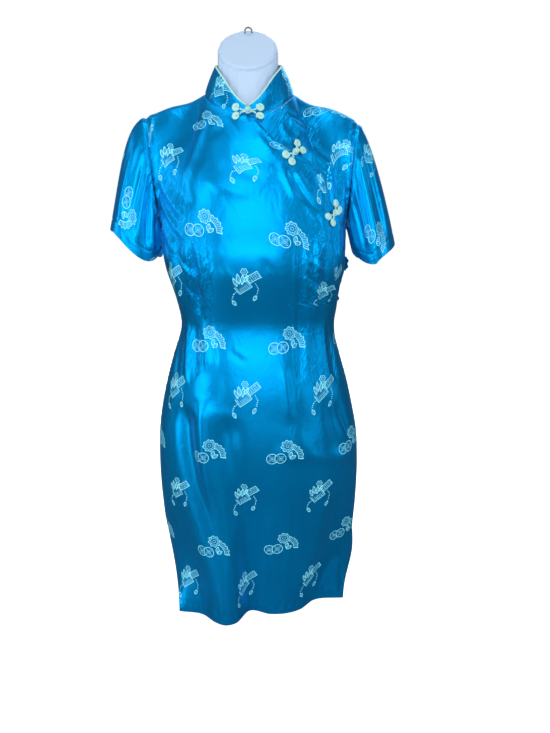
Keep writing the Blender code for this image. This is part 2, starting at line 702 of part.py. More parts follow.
def add_piping(wall):
    """Cord along the collar's top edge, from one front end round the back to the other."""
    outer, inner = wall.grids()
    middle = (outer[-1] + inner[-1]) / 2
    across = unit(outer[-1] - inner[-1])
    up = unit(np.cross(across, np.gradient(middle, axis=0)))
    up = up * np.where(up[:, 2:] < 0, -1.0, 1.0)
    centres = middle + up * (PIPING_RADIUS + SEAM_GAP)
    return add_tube("collar_piping", centres, across, up, PIPING_RADIUS, "cord")


def add_tab():
    """Loose end of the placket at the top of the side opening."""
    side = np.linspace(*TAB_SIDES, 4)[None, :]
    level = (np.linspace(*TAB_HEIGHTS, 4) - HEM_Z)[:, None] / (UNDERARM_Z - HEM_Z)
    out = body_normals(side, level, back=True)
    flare = TAB_LIFT + TAB_FLARE * ((side - TAB_SIDES[1]) / (TAB_SIDES[0] - TAB_SIDES[1])) ** 2
    wall = Wall(body(side, level, back=True) + out * (CLOTH + flare)[..., None], out, CLOTH)
    return add_wall("side_tab", wall, "satin")


def primitive(build, **sizes):
    """Points and faces of one bmesh primitive."""
    made = bmesh.new()
    build(made, **sizes)
    made.verts.ensure_lookup_table()
    points = [vertex.co.copy() for vertex in made.verts]
    faces = [[vertex.index for vertex in face.verts] for face in made.faces]
    made.free()
    return points, faces


def moved(shape, offset):
    """The same shape somewhere else."""
    points, faces = shape
    return [point + Vector(offset) for point in points], faces


def cylinder(radius, top_radius, low, high, corners=16):
    """A cylinder or cone frustum on its own axis."""
    shape = primitive(bmesh.ops.create_cone, cap_ends=True, segments=corners, radius1=radius,
                      radius2=top_radius, depth=high - low)
    return moved(shape, (0, 0, (low + high) / 2))


def box(low, high):
    """A box between two corners."""
    points, faces = primitive(bmesh.ops.create_cube, size=1.0)
    size = Vector(high) - Vector(low)
    middle = (Vector(high) + Vector(low)) / 2
    return [Vector(a * b for a, b in zip(point, size)) + middle for point in points], faces


def ring(radius, cord, height, around=16, corners=6):
    """A torus lying flat."""
    points, faces = [], []
    for i in range(around):
        turn = 2 * math.pi * i / around
        for j in range(corners):
            angle = 2 * math.pi * j / corners
            away = radius + cord * math.cos(angle)
            points.append(Vector((away * math.cos(turn), away * math.sin(turn),
                                  height + cord * math.sin(angle))))
            faces.append([
                i * corners + j, (i + 1) % around * corners + j,
                (i + 1) % around * corners + (j + 1) % corners, i * corners + (j + 1) % corners,
            ])
    return points, faces


def union(shapes):
    """One body made of overlapping shapes, as points and faces."""
    objects = []
    for points, faces in shapes:
        mesh = bpy.data.meshes.new("shape")
        mesh.from_pydata(points, [], faces)
        made = bpy.data.objects.new("shape", mesh)
        bpy.context.scene.collection.objects.link(made)
        objects.append(made)
    for other in objects[1:]:
        cut = objects[0].modifiers.new("union", "BOOLEAN")
        cut.operation = "UNION"
        cut.object = other
    graph = bpy.context.evaluated_depsgraph_get()
    mesh = bpy.data.meshes.new_from_object(objects[0].evaluated_get(graph))
    points = np.array([vertex.co for vertex in mesh.vertices])
    faces = [tuple(face.vertices) for face in mesh.polygons]
    for made in objects:
        bpy.data.objects.remove(made)
    return points, faces


def frog_half(kind, spread):
    """Half of a frog lying flat, its knot's centre at the origin and its discs to one side."""
    way = 1 if kind == "knot" else -1
    disc = cylinder(DISC_RADIUS, DISC_RADIUS - DISC_BEVEL, 0.0, DISC_HEIGHT)
    discs = [moved(disc, (way * spread / 2, offset, 0)) for offset in (-DISC_OFFSET, DISC_OFFSET)]
    far = way * (spread / 2 + STEM_PAST_DISCS)
    if kind == "knot":
        stem = box((0.0, -STEM_WIDTH / 2, 0.0), (far, STEM_WIDTH / 2, STEM_HEIGHT))
        neck = cylinder(KNOT_NECK_RADIUS, KNOT_NECK_RADIUS, STEM_HEIGHT / 2, KNOT_HEIGHT, corners=10)
        ball = primitive(bmesh.ops.create_uvsphere, u_segments=12, v_segments=8, radius=KNOT_RADIUS)
        return union(discs + [stem, neck, moved(ball, (0, 0, KNOT_HEIGHT))])
    top = LOOP_HEIGHT + LOOP_CORD_RADIUS / 2
    stem = box((far, -STEM_WIDTH * 0.7, 0.0), (-LOOP_RADIUS, STEM_WIDTH * 0.7, top))
    return union(discs + [stem, ring(LOOP_RADIUS, LOOP_CORD_RADIUS, LOOP_HEIGHT)])


def seat(tree, centre, first, second, normal, places):
    """Quadratic surface over the cloth at these places: its terms' weights and its lift."""
    heights = np.full(len(places), np.nan)
    for i, (a, b) in enumerate(places):
        start = centre + first * a + second * b + normal * FROG_REACH
        hit = tree.ray_cast(Vector(start), Vector(-normal), FROG_REACH + FROG_OFF)
        if hit[0] is not None and FROG_REACH - hit[3] < FROG_OFF:
            heights[i] = FROG_REACH - hit[3]
    known = ~np.isnan(heights)
    terms = quadratic(places)
    weights = np.linalg.lstsq(terms[known], heights[known], rcond=None)[0]
    lift = np.max(heights[known] - terms[known] @ weights) + SEAM_GAP
    return weights, lift


def quadratic(places):
    """Terms of a quadratic in two places."""
    a, b = places[:, 0], places[:, 1]
    return np.stack([np.ones_like(a), a, b, a * a, a * b, b * b], axis=1)


def add_frog(name, tree, place):
    """Both halves of a frog, seated on the cloth in the same curve."""
    x, z, tilt, spread = place
    hits = [
        tree.ray_cast(Vector((x + a, -0.3, z + b)), Vector((0, 1, 0)))
        for a in (0, -FROG_SEARCH, FROG_SEARCH) for b in (0, -FROG_SEARCH, FROG_SEARCH)
    ]
    hits = [hit for hit in hits if hit[0] is not None and hit[0].y < 0]
    middle = np.mean([hit[0] for hit in hits], axis=0)
    normal = unit(np.sum([hit[1] for hit in hits], axis=0))
    aside = normal[0] * (x - middle[0]) + normal[2] * (z - middle[2])
    centre = np.array((x, middle[1] - aside / normal[1], z))
    level = unit(np.cross(normal, (0, 0, -1.0)))
    level = level * np.sign(level[0])
    upward = unit(np.cross(level, normal))
    upward = upward * np.sign(upward[2])
    turn = math.radians(tilt)
    first = level * math.cos(turn) + upward * math.sin(turn)
    second = np.cross(normal, first)
    halves = {kind: frog_half(kind, spread) for kind in ("loop", "knot")}
    stems = np.linspace(-spread / 2, spread / 2, 31)
    stems = [(a, b) for a in stems for b in (-STEM_WIDTH / 2, 0, STEM_WIDTH / 2)]
    places = np.concatenate([points[:, :2] for points, _ in halves.values()] + [np.array(stems)])
    weights, lift = seat(tree, centre, first, second, normal, places)
    for kind, (points, faces) in halves.items():
        height = quadratic(points[:, :2]) @ weights + lift + points[:, 2]
        world = centre + points[:, :1] * first + points[:, 1:2] * second + height[:, None] * normal
        add_object(f"frog_{name}_{kind}", world, faces, "cord")


def form_clear(side, level):
    """Room between cloth and form, with a seat on the shoulders."""
    room = read_table(FORM_ROOM, level)[..., 0]
    out = np.abs(side)
    seat_share = smooth((level - 1.6) / 0.25) * smooth((out - 0.55) / 0.08) * smooth((0.85 - out) / 0.1)
    return room + (FORM_SEAT - room) * seat_share


def neck_rim(angles, half_width, half_length, raised):
    """Points of an oval in the cap's slanted plane, moved out along its normal."""
    slant = math.radians(CAP_SLANT_DEGREES)
    backward = np.array((0.0, math.cos(slant), math.sin(slant)))
    out = np.array((0.0, -math.sin(slant), math.cos(slant)))
    sin, cos = np.sin(angles)[:, None], np.cos(angles)[:, None]
    across = np.array((1.0, 0.0, 0.0))
    return np.array(CAP_CENTRE) + across * half_width * sin - backward * half_length * cos + out * raised


def form_rings():
    """Rings of the torso, each the front from left to right and then the back."""
    own = levels()
    low_level = (FORM_LOW_Z - HEM_Z) / (UNDERARM_Z - HEM_Z)
    torso = own[(own > low_level + 0.01) & (own < 1.9)]
    rings = []
    for level in [low_level, *torso, 1 + FORM_TOP_RISE]:
        reach = 1 + (FORM_ARM_SIDE - 1) * smooth((level - 0.9) / 0.1)
        side = np.linspace(-reach, reach, FORM_COLUMNS + 1)
        at = np.full(side.shape, level)
        deep = CLOTH + form_clear(side, at)[:, None]
        front = body(side, at, folded=False) - body_normals(side, at, folded=False) * deep
        rear = body(side, at, back=True) - body_normals(side, at, back=True) * deep
        front[[0, -1], 1] -= FORM_PARTING
        rear[[0, -1], 1] += FORM_PARTING
        rings.append(np.concatenate([front, rear[::-1]]))
    rings[0][:, 2] = FORM_LOW_Z
    return np.array(rings)


def neck_rings(count):
    """Rings of the neck: its throat, the rim of the cap and the cap's lip."""
    half = count // 2
    angles = np.concatenate([
        np.linspace(-0.48, 0.48, half) * math.pi, np.linspace(0.52, 1.48, half) * math.pi,
    ])
    sin, cos = np.sin(angles), np.cos(angles)
    x, y, z = THROAT_CENTRE
    throat = np.stack([x + THROAT_HALF_WIDTH * sin, y - THROAT_HALF_DEPTH * cos,
                       z - THROAT_SLANT * cos], axis=-1)
    steps = ((0.0, -CAP_SIDE), (CAP_EDGE, 0.0), (CAP_LIP, CAP_CROWN))
    rims = [neck_rim(angles, CAP_HALF_WIDTH - inward, CAP_HALF_LENGTH - inward, raised)
            for inward, raised in steps]
    return [throat, (throat + rims[0]) / 2, *rims]


def add_form():
    """Torso, neck and slanted cap as one closed body, flat below."""
    rings = form_rings()
    count = FORM_COLUMNS
    points = list(rings.reshape(-1, 3))
    index = np.arange(len(points)).reshape(len(rings), -1)
    after = np.roll(index, -1, axis=1)
    sides = np.stack([index[:-1], after[:-1], after[1:], index[1:]], axis=-1).reshape(-1, 4)
    faces = [tuple(face) for face in sides] + [tuple(index[0, ::-1])]
    top, across = index[-1, :count + 1], index[-1, :count:-1]
    quarter = count // 4
    for j in list(range(quarter)) + list(range(3 * quarter, count)):
        faces.append((top[j], top[j + 1], across[j + 1], across[j]))
    below = np.concatenate([top[quarter:3 * quarter + 1], across[quarter:3 * quarter + 1][::-1]])
    for ring_points in neck_rings(len(below)):
        here = np.arange(len(points), len(points) + len(below))
        points.extend(ring_points)
        beside, above = np.roll(below, -1), np.roll(here, -1)
        faces += [tuple(face) for face in np.stack([below, beside, above, here], axis=-1)]
        below = here
    faces.append(tuple(below))
    return add_object("dress_form", points, faces, "plastic")


def add_eye():
    """Bent wire eye standing on the cap near its upper end."""
    slant = math.radians(CAP_SLANT_DEGREES)
    backward = np.array((0.0, math.cos(slant), math.sin(slant)))
    out = np.array((0.0, -math.sin(slant), math.cos(slant)))
    across = np.array((1.0, 0.0, 0.0))
    foot = np.array(CAP_CENTRE) + backward * (CAP_HALF_LENGTH - EYE_FROM_RIM) + out * CAP_CROWN
    angle = np.linspace(0, math.pi, 11)[:, None]
    arc = across * np.cos(angle) * EYE_RADIUS + out * (np.sin(angle) * EYE_RADIUS + EYE_LEG)
    legs = np.array((1.0, -1.0))[:, None] * across * EYE_RADIUS
    path = np.concatenate([legs[:1], arc, legs[1:]]) + foot + out * SEAM_GAP
    away = np.concatenate([across[None], across * np.cos(angle) + out * np.sin(angle), -across[None]])
    return add_tube("form_eye", path, away, np.tile(backward, (len(path), 1)), EYE_WIRE_RADIUS, "steel")


def add_stand():
    """Pole under the form and the oval plate that it stands on."""
    points, faces = cylinder(POLE_RADIUS, POLE_RADIUS, BASE_HEIGHT + SEAM_GAP,
                             FORM_LOW_Z - SEAM_GAP, corners=24)
    add_object("stand_pole", points, faces, "steel")
    plate, faces = cylinder(1.0, 1.0, 0.0, BASE_HEIGHT, corners=48)
    plate = [(x * BASE_HALF_WIDTH, y * BASE_HALF_DEPTH, z) for x, y, z in plate]
    add_object("stand_base", plate, faces, "lacquer")


def main():
    """Clears the scene and builds every piece."""
    for old in list(bpy.data.objects):
        bpy.data.objects.remove(old)
    front, yoke = front_walls()
    back = back_wall()
    neck = collar_wall()
    cloth = [
        add_wall("front_panel", front, "satin"),
        add_wall("yoke_panel", yoke, "satin"),
        add_wall("back_panel", back, "satin"),
        add_wall("collar", neck, "satin"),
    ]
    for name, shape in SLEEVES.items():
        add_wall(f"sleeve_{name}", sleeve_wall(shape), "satin", wrap=True)
    add_piping(neck)
    add_tab()
    points, faces = [], []
    for made in cloth:
        first = len(points)
        points += [vertex.co.copy() for vertex in made.data.vertices]
        faces += [[first + i for i in face.vertices] for face in made.data.polygons]
    tree = BVHTree.FromPolygons(points, faces)
    for name, place in FROGS.items():
        add_frog(name, tree, place)
    add_form()
    add_eye()
    add_stand()


main()
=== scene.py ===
"""Cheongsam of satin brocade on a limbless dress form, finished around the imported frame.

Everything is in metres. The front faces -Y, the viewer's right is +X, and the origin is the centre
of the base plate's underside. A point of the body is named by its side, from -1 at the left seam
to 1 at the right one, and its level: 0 at the hem, 1 at the underarm and 2 at the neckline. Each
cloth piece is a grid on that surface, moved along its normals by creases, darts and seams.
"""

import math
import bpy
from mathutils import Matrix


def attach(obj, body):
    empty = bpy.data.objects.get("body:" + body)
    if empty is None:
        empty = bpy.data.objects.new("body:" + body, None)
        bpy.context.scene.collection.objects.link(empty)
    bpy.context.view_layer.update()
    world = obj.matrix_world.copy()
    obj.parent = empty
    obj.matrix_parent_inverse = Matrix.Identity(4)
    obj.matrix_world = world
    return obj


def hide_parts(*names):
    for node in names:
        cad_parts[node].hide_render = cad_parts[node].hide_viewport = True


bl_info = {
    "name": "Cheongsam on a dress form",
    "version": (1, 0, 0),
    "blender": (4, 5, 0),
    "location": "3D View > Sidebar > Cheongsam",
    "description": "Satin brocade cheongsam with frogs and piping on a smooth dress form",
    "category": "Add Mesh",
}

from functools import partialmethod

import bpy
import numpy as np
from mathutils import Vector

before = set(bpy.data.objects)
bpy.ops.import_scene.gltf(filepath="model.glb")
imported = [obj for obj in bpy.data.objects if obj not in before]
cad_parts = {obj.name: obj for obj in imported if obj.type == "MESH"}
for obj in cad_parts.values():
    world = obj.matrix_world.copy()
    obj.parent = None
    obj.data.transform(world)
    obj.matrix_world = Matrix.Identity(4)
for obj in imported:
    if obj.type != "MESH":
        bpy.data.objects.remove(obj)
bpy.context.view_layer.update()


def mm(*rows):
    """A table that is written in thousandths."""
    return np.array(rows) / 1000


# Heights
HEM_Z = 0.012
SLIT_TOP_Z = 0.165
FLARE_TOP_Z = 0.42  # the skirt's hem folds fade out here
UNDERARM_Z = 0.745

# Sections below the arms: height, left and right edges, front and back faces
SECTIONS = mm(
    (745, -157, 160, -112, 97), (700, -156, 160, -124, 98), (673, -152, 160, -122, 96),
    (630, -140, 151, -108, 89), (600, -133, 148, -98, 82), (578, -130, 145, -94, 80),
    (550, -135, 147, -96, 85), (520, -145, 155, -102, 95), (466, -161, 171, -110, 109),
    (420, -172, 182, -112, 114), (370, -180, 192, -114, 116), (320, -183, 196, -113, 115),
    (216, -182, 196, -106, 108), (165, -179, 194, -103, 104), (90, -171, 198, -97, 100),
    (10, -158, 186, -88, 96),
)
SECTION_ROUNDNESS = 2.25  # 2 is an ellipse
# Hems seen from above: side, x, y, height
FRONT_HEM = mm(
    (-1000, -149, -79, 13), (-750, -103, -83, 9), (-560, -75, -107, 10), (-440, -57, -117, 12),
    (-300, -36, -111, 12), (-100, -12, -78, 13), (140, 30, -86, 12), (340, 64, -84, 13),
    (510, 90, -72, 13), (680, 114, -50, 15), (1000, 176, -38, 12),
)
BACK_HEM = mm(
    (-1000, -150, 6, 13), (-500, -112, 70, 12), (0, 6, 96, 12), (500, 122, 70, 12),
    (1000, 168, 10, 13),
)
# Folds of the front: x and height of the upper end, of the lower end, width, rise
FOLDS = mm(
    (-118, 450, -112, 40, 16, -10), (-84, 470, -62, 20, 19, 9), (-50, 440, -12, 20, 22, -8),
    (-100, 730, -88, 585, 10, -5), (-125, 700, -112, 600, 8, 3), (82, 740, 82, 470, 8, -3),
    (100, 745, 102, 580, 9, 3), (60, 420, 110, 330, 24, 3), (135, 460, 160, 330, 14, -4),
)
FOLD_FADE = 0.045  # length over which a fold's end dies away

# Neckline: centre, half width, reach and drop at the front, reach and rise at the back
NECK_X, NECK_Y, NECK_Z, NECK_HALF_WIDTH = -0.004, 0.005, 0.950, 0.073
NECK_FRONT, NECK_FRONT_DROP, NECK_BACK, NECK_BACK_RISE = 0.077, 0.039, 0.050, 0.008
NECK_SIDE = 0.5  # side where the neckline meets the shoulder seam
# Shoulders: share of the way from neck to tip, height on the left and on the right
SHOULDER_TIP_X = 0.1755
SHOULDERS = mm(
    (0, 950, 950), (200, 940, 938), (600, 930.5, 928), (850, 921.5, 917), (1000, 916, 907),
)
# Handles of the bodice's curves, outwards, forwards and up: at the start, round the arm, at the
# neckline's front and back, along the shoulder and at its tip
BODICE_REACH = 0.062
ROUND_ARM_REACH = (0, -0.052, 0.010)
NECK_REACH = {False: (0, 0.026, 0.048), True: (0, -0.020, 0.055)}
SHOULDER_REACH = (0, 0.030, 0)
TIP_REACH = (0.012, 0.046, 0.016)
TIP_START = 0.6  # side beyond which the tip's handle comes in

# Edge of the overlap: height, x
OVERLAP = mm(
    (600, 156), (640, 140), (690, 131), (740, 124.5), (787, 120.5), (812, 115.5), (832, 103.5),
    (846, 85), (858, 60), (872, 38), (890, 19), (911, -4),
)
OVERLAP_WHOLE = 0.999  # side beyond which the front is whole
YOKE_START = 0.012  # of the yoke above the overlap's lowest point
LAP_RISE = 0.0022  # how far the overlap lies above the yoke
LAP_FLAT, LAP_SLOPE = 0.05, 0.14  # sides over which it lies flat, then comes down
LAP_FADE = 0.10  # sides and levels over which its ends die away
LAP_WIDTH = 0.08  # of the yoke under the overlap
ARMHOLE_NORMAL_SIDE = 0.9  # beyond it, normals above the underarm stay the same

COLLAR_GAP_DEGREES = 2.5  # from the front centre to either end
# Degrees from the front centre, height
COLLAR_HEIGHTS = np.array((
    (0, 0.010), (15, 0.021), (30, 0.033), (45, 0.0415), (60, 0.0445), (90, 0.0455), (180, 0.046),
))
COLLAR_LEAN_SIDE, COLLAR_LEAN_FRONT, COLLAR_LEAN_BACK, COLLAR_LEAN_UP = 0.40, 0.27, 0.22, 0.93
COLLAR_BULGE, COLLAR_RIPPLE, COLLAR_DIP = 0.0010, 0.0006, 0.0012
COLLAR_LAYERS = 1.3  # its thickness, in thicknesses of the cloth
PIPING_RADIUS = 0.0014

# Sleeves: centre of the hem, half width across, half depth, dip of the hem and its skew, how hard
# it is pinched into edges (1 is round), and how the shoulder starts outwards and down
SLEEVES = {
    "left": dict(way=-1, centre=(-0.2031, 0.002, 0.7207), across=(-0.0431, 0.0, 0.0116),
                 depth=0.055, dip=0.0165, skew=1.95, pinch=1.0, shoulder=(0.041, -0.008)),
    "right": dict(way=1, centre=(0.2094, 0.002, 0.7131), across=(0.0375, 0.0, 0.0014),
                  depth=0.055, dip=0.0293, skew=0.50, pinch=1.6, shoulder=(0.020, -0.014)),
}
# How a sleeve starts under the arm and beside it, and ends over it, under it and beside it
SLEEVE_STARTS = ((0.003, -0.012), (0.016, -0.030))
SLEEVE_ENDS = ((0.022, -0.085), (0.004, -0.014), (0.016, -0.040))
SLEEVE_FORWARD = -0.008  # how far a sleeve starts towards the front beside the arm
SLEEVE_HEM = 0.018  # of the stitching above the edge
SLEEVE_GIRTH = 0.14  # of half an armhole, for its puckers

# Placket tab: side where it starts and length in sides, height, width, and how far its end stands
# away from the body and comes forward
TAB_SIDE, TAB_LENGTH, TAB_Z, TAB_WIDTH = 0.80, 0.135, 0.679, 0.018
TAB_FLARE, TAB_FORWARD = 0.0072, 0.004

# Frogs: x and height of the knot, tilt of the frog in degrees, distance of its disc pairs
FROGS = {
    "neck": (-0.003, 0.9130, 0.0, 0.0375),
    "chest": (0.067, 0.8540, 38.0, 0.0300),
    "side": (0.131, 0.7640, 42.0, 0.0300),
}
CORD_RADIUS = 0.00112
COIL_TURNS = 2.7
COIL_START = 0.0009  # radius of a coil's first turn, and the rise of its middle
DISC_RADIUS = 0.0069
DISC_OFFSET = 0.0072  # from the frog's centre line
LOOP_RADIUS = 0.0040
LOOP_HEIGHT = 0.0026
KNOT_RADIUS = 0.0031
KNOT_HEIGHT = 0.0067
KNOT_STEM_RADIUS = 0.0022
KNOT_SPREAD = 0.00099  # of a ring's two cords from its middle
# A disc's stem, its handles and its end; it starts at this place from the disc's middle
STEM = mm((-6.2, 4.464, 1.12), (-2, -3.24, 0), (-4, 0, 0.5), (3.5, 1.17, 1.456))
UP = np.array((0.0, 0.0, 1.0))

# Creases: x and height of both ends, width, rise (below 0 it is a trough), bow sideways
FRONT_CREASES = mm(
    # darts
    (74, 745, 78, 455, 2.8, -1, 0), (98, 592, 99, 475, 2.8, -0.6, 0),
    (-85, 730, -64, 575, 2.8, -1, 0),
    # gathered cloth beside the left dart
    (-71, 736, -62, 620, 5, -1.5, 3), (-96, 735, -87, 596, 4.5, -2.6, 3),
    (-106, 742, -97, 594, 5, 2.4, -3), (-118, 748, -108, 592, 4.8, -2.6, 4),
    (-130, 730, -118, 594, 5, 2.2, 4), (-128, 712, -84, 668, 4, -1.8, 4),
    (-122, 690, -80, 646, 4, 1.8, -4), (-118, 662, -76, 622, 4, -1.8, 3),
    # gathers below the waist at the left
    (-121, 590, -136, 475, 4.5, -2.4, 3), (-110, 592, -116, 470, 4.5, 2.4, 0),
    (-97, 594, -96, 490, 4.2, -2.4, 2), (-84, 594, -77, 500, 5, 2.2, -2),
    (-72, 590, -60, 510, 4.5, -1.6, 2),
    # placket at the right side
    (87, 740, 92, 596, 4.2, 2.1, 2), (97, 742, 101, 596, 4, -2.5, -2),
    (108, 738, 108, 598, 4.2, 2.5, 3), (118, 722, 116, 606, 4.2, -2.1, 0),
    (80, 722, 116, 688, 3.8, -1.9, 4), (83, 700, 121, 664, 3.8, 1.9, -3),
    (81, 680, 123, 646, 3.8, -1.9, 4), (84, 656, 119, 622, 4, 1.7, -4),
    (106, 590, 117, 462, 4.5, -2.1, 2), (118, 592, 136, 466, 5, 2.1, 3),
    (130, 580, 150, 470, 5.5, -1.7, 3),
    # pulled from the frogs
    (50, 848, 80, 780, 6, 1.8, 8), (60, 842, 100, 772, 4.2, -2.2, 8),
    (68, 836, 114, 782, 4.5, 1.8, 7), (71, 818, 106, 764, 4, -2, 4),
    (82, 790, 112, 744, 4.5, 1.8, 3), (12, 893, 50, 858, 4, -1.6, 3), (4, 888, 40, 850, 5, 1.2, 3),
    (-20, 908, -70, 880, 8, -1.4, -4),
    # pulled from the left armhole
    (-146, 846, -85, 772, 8, -2, 6), (-158, 832, -100, 752, 6, 2.2, 6),
    (-160, 818, -110, 742, 5, -2.4, 5), (-160, 805, -107, 724, 5, 2.2, 5),
    (-160, 792, -103, 706, 4.8, -2.4, 5), (-158, 778, -116, 694, 4.8, 2.2, 4),
    (-156, 765, -130, 684, 4.5, -2.2, 3),
    # broad drape across the chest, then faint lines across it and the belly
    (-175, 850, 40, 800, 30, 4, 10), (-60, 850, 30, 815, 9, -1.2, 6), (-80, 815, 10, 790, 7, 1, 4),
    (-50, 690, 10, 640, 8, 1.2, 6), (10, 700, 50, 640, 8, -1.2, -6),
    (-40, 543, -6, 523, 4.6, -0.8, 2), (-36, 551, -2, 531, 4.6, 0.6, 2),
    (48, 525, 62, 415, 8, 1.4, -3), (60, 530, 77, 415, 7, -0.7, -3),
    # skirt
    (-98, 470, -88, 240, 16, 2.4, 0), (-78, 430, -58, 120, 12, -2.6, 0),
    (-40, 400, -30, 140, 14, 2.2, 0), (-52, 525, -34, 420, 17, -1.2, 3),
    (145, 450, 180, 360, 4.8, -2.4, 4), (135, 448, 170, 362, 5.2, 2, 4),
    (85, 362, 182, 336, 14, 2.6, 4), (30, 372, 100, 350, 12, 1.6, 4),
    (140, 320, 120, 80, 14, 2.2, 6), (95, 300, 85, 60, 13, -2.2, 4), (20, 260, 45, 60, 14, 1.8, 6),
)
YOKE_CREASES = mm(
    (55, 917, 108, 903, 4.5, -2.4, 3), (56, 911, 95, 890, 4.5, 2.2, 3),
    (52, 906, 78, 879, 4.2, -2.4, 3), (48, 900, 66, 868, 4.5, 1.8, 3),
    (90, 870, 135, 835, 6, 1.8, 6), (98, 858, 140, 815, 5, -2, 6),
    (123, 842, 128, 770, 4.2, -2.4, 2), (131, 840, 135, 762, 4.2, 2.4, 2),
    (139, 838, 142, 752, 4.2, -2.6, 2), (148, 832, 149, 745, 4.8, 2.6, -2),
    (155, 815, 152, 730, 4.2, -2.2, -2), (134, 760, 137, 680, 4.2, -2.4, 2),
    (142, 765, 145, 668, 4.2, 2.4, 2), (149, 755, 150, 670, 4, -2.2, 0),
    (128, 720, 146, 690, 3.8, 1.8, 2),
)
BACK_CREASES = mm(
    (70, 740, 75, 440, 1.6, -1.2, 0), (-70, 740, -72, 440, 1.6, -1.2, 0),
    (-50, 600, 55, 592, 8, -1.6, 3), (-120, 600, -80, 570, 7, 1.4, 3),
    (90, 610, 130, 580, 7, 1.4, 3), (-40, 640, -90, 610, 8, -1.2, 3), (30, 650, 90, 620, 8, 1.2, 3),
    (-80, 880, -20, 850, 12, -1.2, 5), (70, 890, 10, 860, 12, 1.2, 5),
    (-100, 350, -80, 60, 14, 2.2, 6), (-50, 330, -45, 40, 12, -2, 6), (40, 360, 60, 50, 15, 2, -6),
    (95, 330, 110, 60, 13, -2, -6),
)
# The same for the sleeves, in turns round the arm and shares of its length
SLEEVE_CREASES = {
    "left": mm(
        (200, 100, 280, 950, 45, 2, 20), (340, 50, 420, 950, 35, -2.8, 30),
        (440, 50, 530, 950, 35, 2.8, 30), (540, 20, 640, 900, 30, -3.4, 30),
        (660, 50, 740, 950, 35, 3.2, 0), (780, 50, 840, 900, 32, -3, 20),
        (900, 100, 930, 920, 35, 2.6, 10), (1200, 50, 1240, 900, 40, -2.4, 20),
        (1360, 50, 1380, 920, 50, 2.4, 20), (1600, 50, 1520, 900, 50, -2.4, 20),
    ),
    "right": mm(
        (160, 100, 240, 950, 45, -2.2, 30), (300, 40, 360, 950, 40, 2.4, 30),
        (420, 20, 470, 950, 34, -3, 20), (540, 20, 570, 900, 34, 3, 0),
        (640, 20, 670, 850, 32, -3.4, 0), (760, 50, 780, 900, 34, 3, 20),
        (880, 80, 880, 920, 34, -2.6, 10), (1220, 50, 1200, 900, 40, 2.4, 20),
        (1400, 50, 1360, 900, 50, -2.4, 20), (1620, 50, 1580, 900, 50, 2.4, 20),
    ),
}
CREASE_FADE = 0.3  # share of a crease's length over which its end dies away
# Valley along the waist: height in the middle, its drop towards the sides, depth, reach above and
# below, both ends and the length over which they fade
WAIST_Z, WAIST_DROP, WAIST_DEPTH, WAIST_ABOVE, WAIST_BELOW = 0.588, 0.35, 0.0042, 0.022, 0.030
WAIST_LEFT, WAIST_RIGHT, WAIST_FADE = -0.085, 0.125, 0.04
DEEPEST = 0.0036  # of the troughs, which stay clear of the form
# Gathered zones: left, right, low, high, share of puckers
FRONT_PUCKERS = mm(
    (78, 128, 597, 738, 1100), (-132, -64, 597, 735, 1100), (-134, -75, 500, 590, 600),
    (78, 150, 480, 590, 550), (60, 120, 740, 850, 280), (-165, -100, 690, 840, 600),
    (-200, 200, 0, 45, 350),
)
YOKE_PUCKERS = mm(
    (125, 170, 600, 850, 800), (40, 110, 860, 930, 800),
)
BACK_PUCKERS = mm(
    (-110, 110, 570, 640, 500), (-200, -110, 500, 700, 500), (110, 200, 500, 700, 500),
    (-200, 200, 0, 45, 350),
)
PUCKER_REST = 0.04  # share of puckers everywhere else
PUCKER_EDGE = 0.024
# Share at a sewn seam and its reach, shares at the overlap's edge, at a sleeve's seam and hem, and
# on the collar, and their reach
SEAM_SHARE, SEAM_REACH = 0.7, 0.014
EDGE_SHARE, ARMHOLE_SHARE, SLEEVE_HEM_SHARE, COLLAR_SHARE, EDGE_REACH = 0.6, 0.6, 0.3, 0.35, 0.016
# A sewn seam: depth and width of its groove, height, place and width of the ridge beside it,
# height and reach of its puckers
SEAM_DEPTH, SEAM_WIDTH, SEAM_PUCKER, SEAM_PUCKER_REACH = 0.0022, 0.0032, 0.0005, 0.012
RIDGE_RISE, RIDGE_PLACE, RIDGE_WIDTH = 0.0007, 0.008, 0.004
PUCKER_STEP, HEM_PUCKER_STEP = 0.011, 0.013  # between the puckers along a seam and along the hem
YOKE_DIP, YOKE_DIP_WIDTH = 0.0016, 0.06  # beside the overlap; the width is in sides
YOKE_SINK = 0.0002  # of the whole yoke
EDGE_ROLL, EDGE_ROLL_WIDTH = 0.0020, 0.0045  # of the overlap's bound edge
EDGE_DIP, EDGE_DIP_WIDTH = 0.0010, 0.0022
# Depth of the stitched grooves, height and reach of the hem's puckers
HEM_GROOVE, SLEEVE_GROOVE, HEM_PUCKER, HEM_PUCKER_REACH = 0.0010, 0.0008, 0.0005, 0.010
HEM_STITCH_RISE = 0.022  # of the hem's stitching above the edge
STITCH_WIDTH = 0.0016

FINE_FRONT = (240, 200)  # rows, columns
FINE_BACK = (230, 150)
FINE_YOKE = (150, 110)
FINE_SLEEVE = (84, 240)
FINE_COLLAR = (20, 420)

# The woven pattern in millimetres: its repeat and the middles of its motifs
REPEAT = (137.0, 194.5)
TREASURE_MIDDLE = (0.0, 858.4)
COIN_MIDDLE = (68.5, 755.9)
# Round the arm, along the sleeve and turn of the coin motif on each
SLEEVE_PATTERN = {"left": (0.38, 0.669, 90), "right": (0.37, 0.756, 60)}
YOKE_MOTIF = (0.148, 0.863, 19.0)  # x, height and turn of the treasure motif on the yoke
CHEST_STRETCH, CHEST_STRETCH_Z = 0.45, 0.866  # of the pattern above that height
# Height and x of the line that the pattern is centred on
PATTERN_LINE = mm(
    (0, -21), (280, -15.1), (470, -10.7), (850, -6.8), (1000, -6),
)
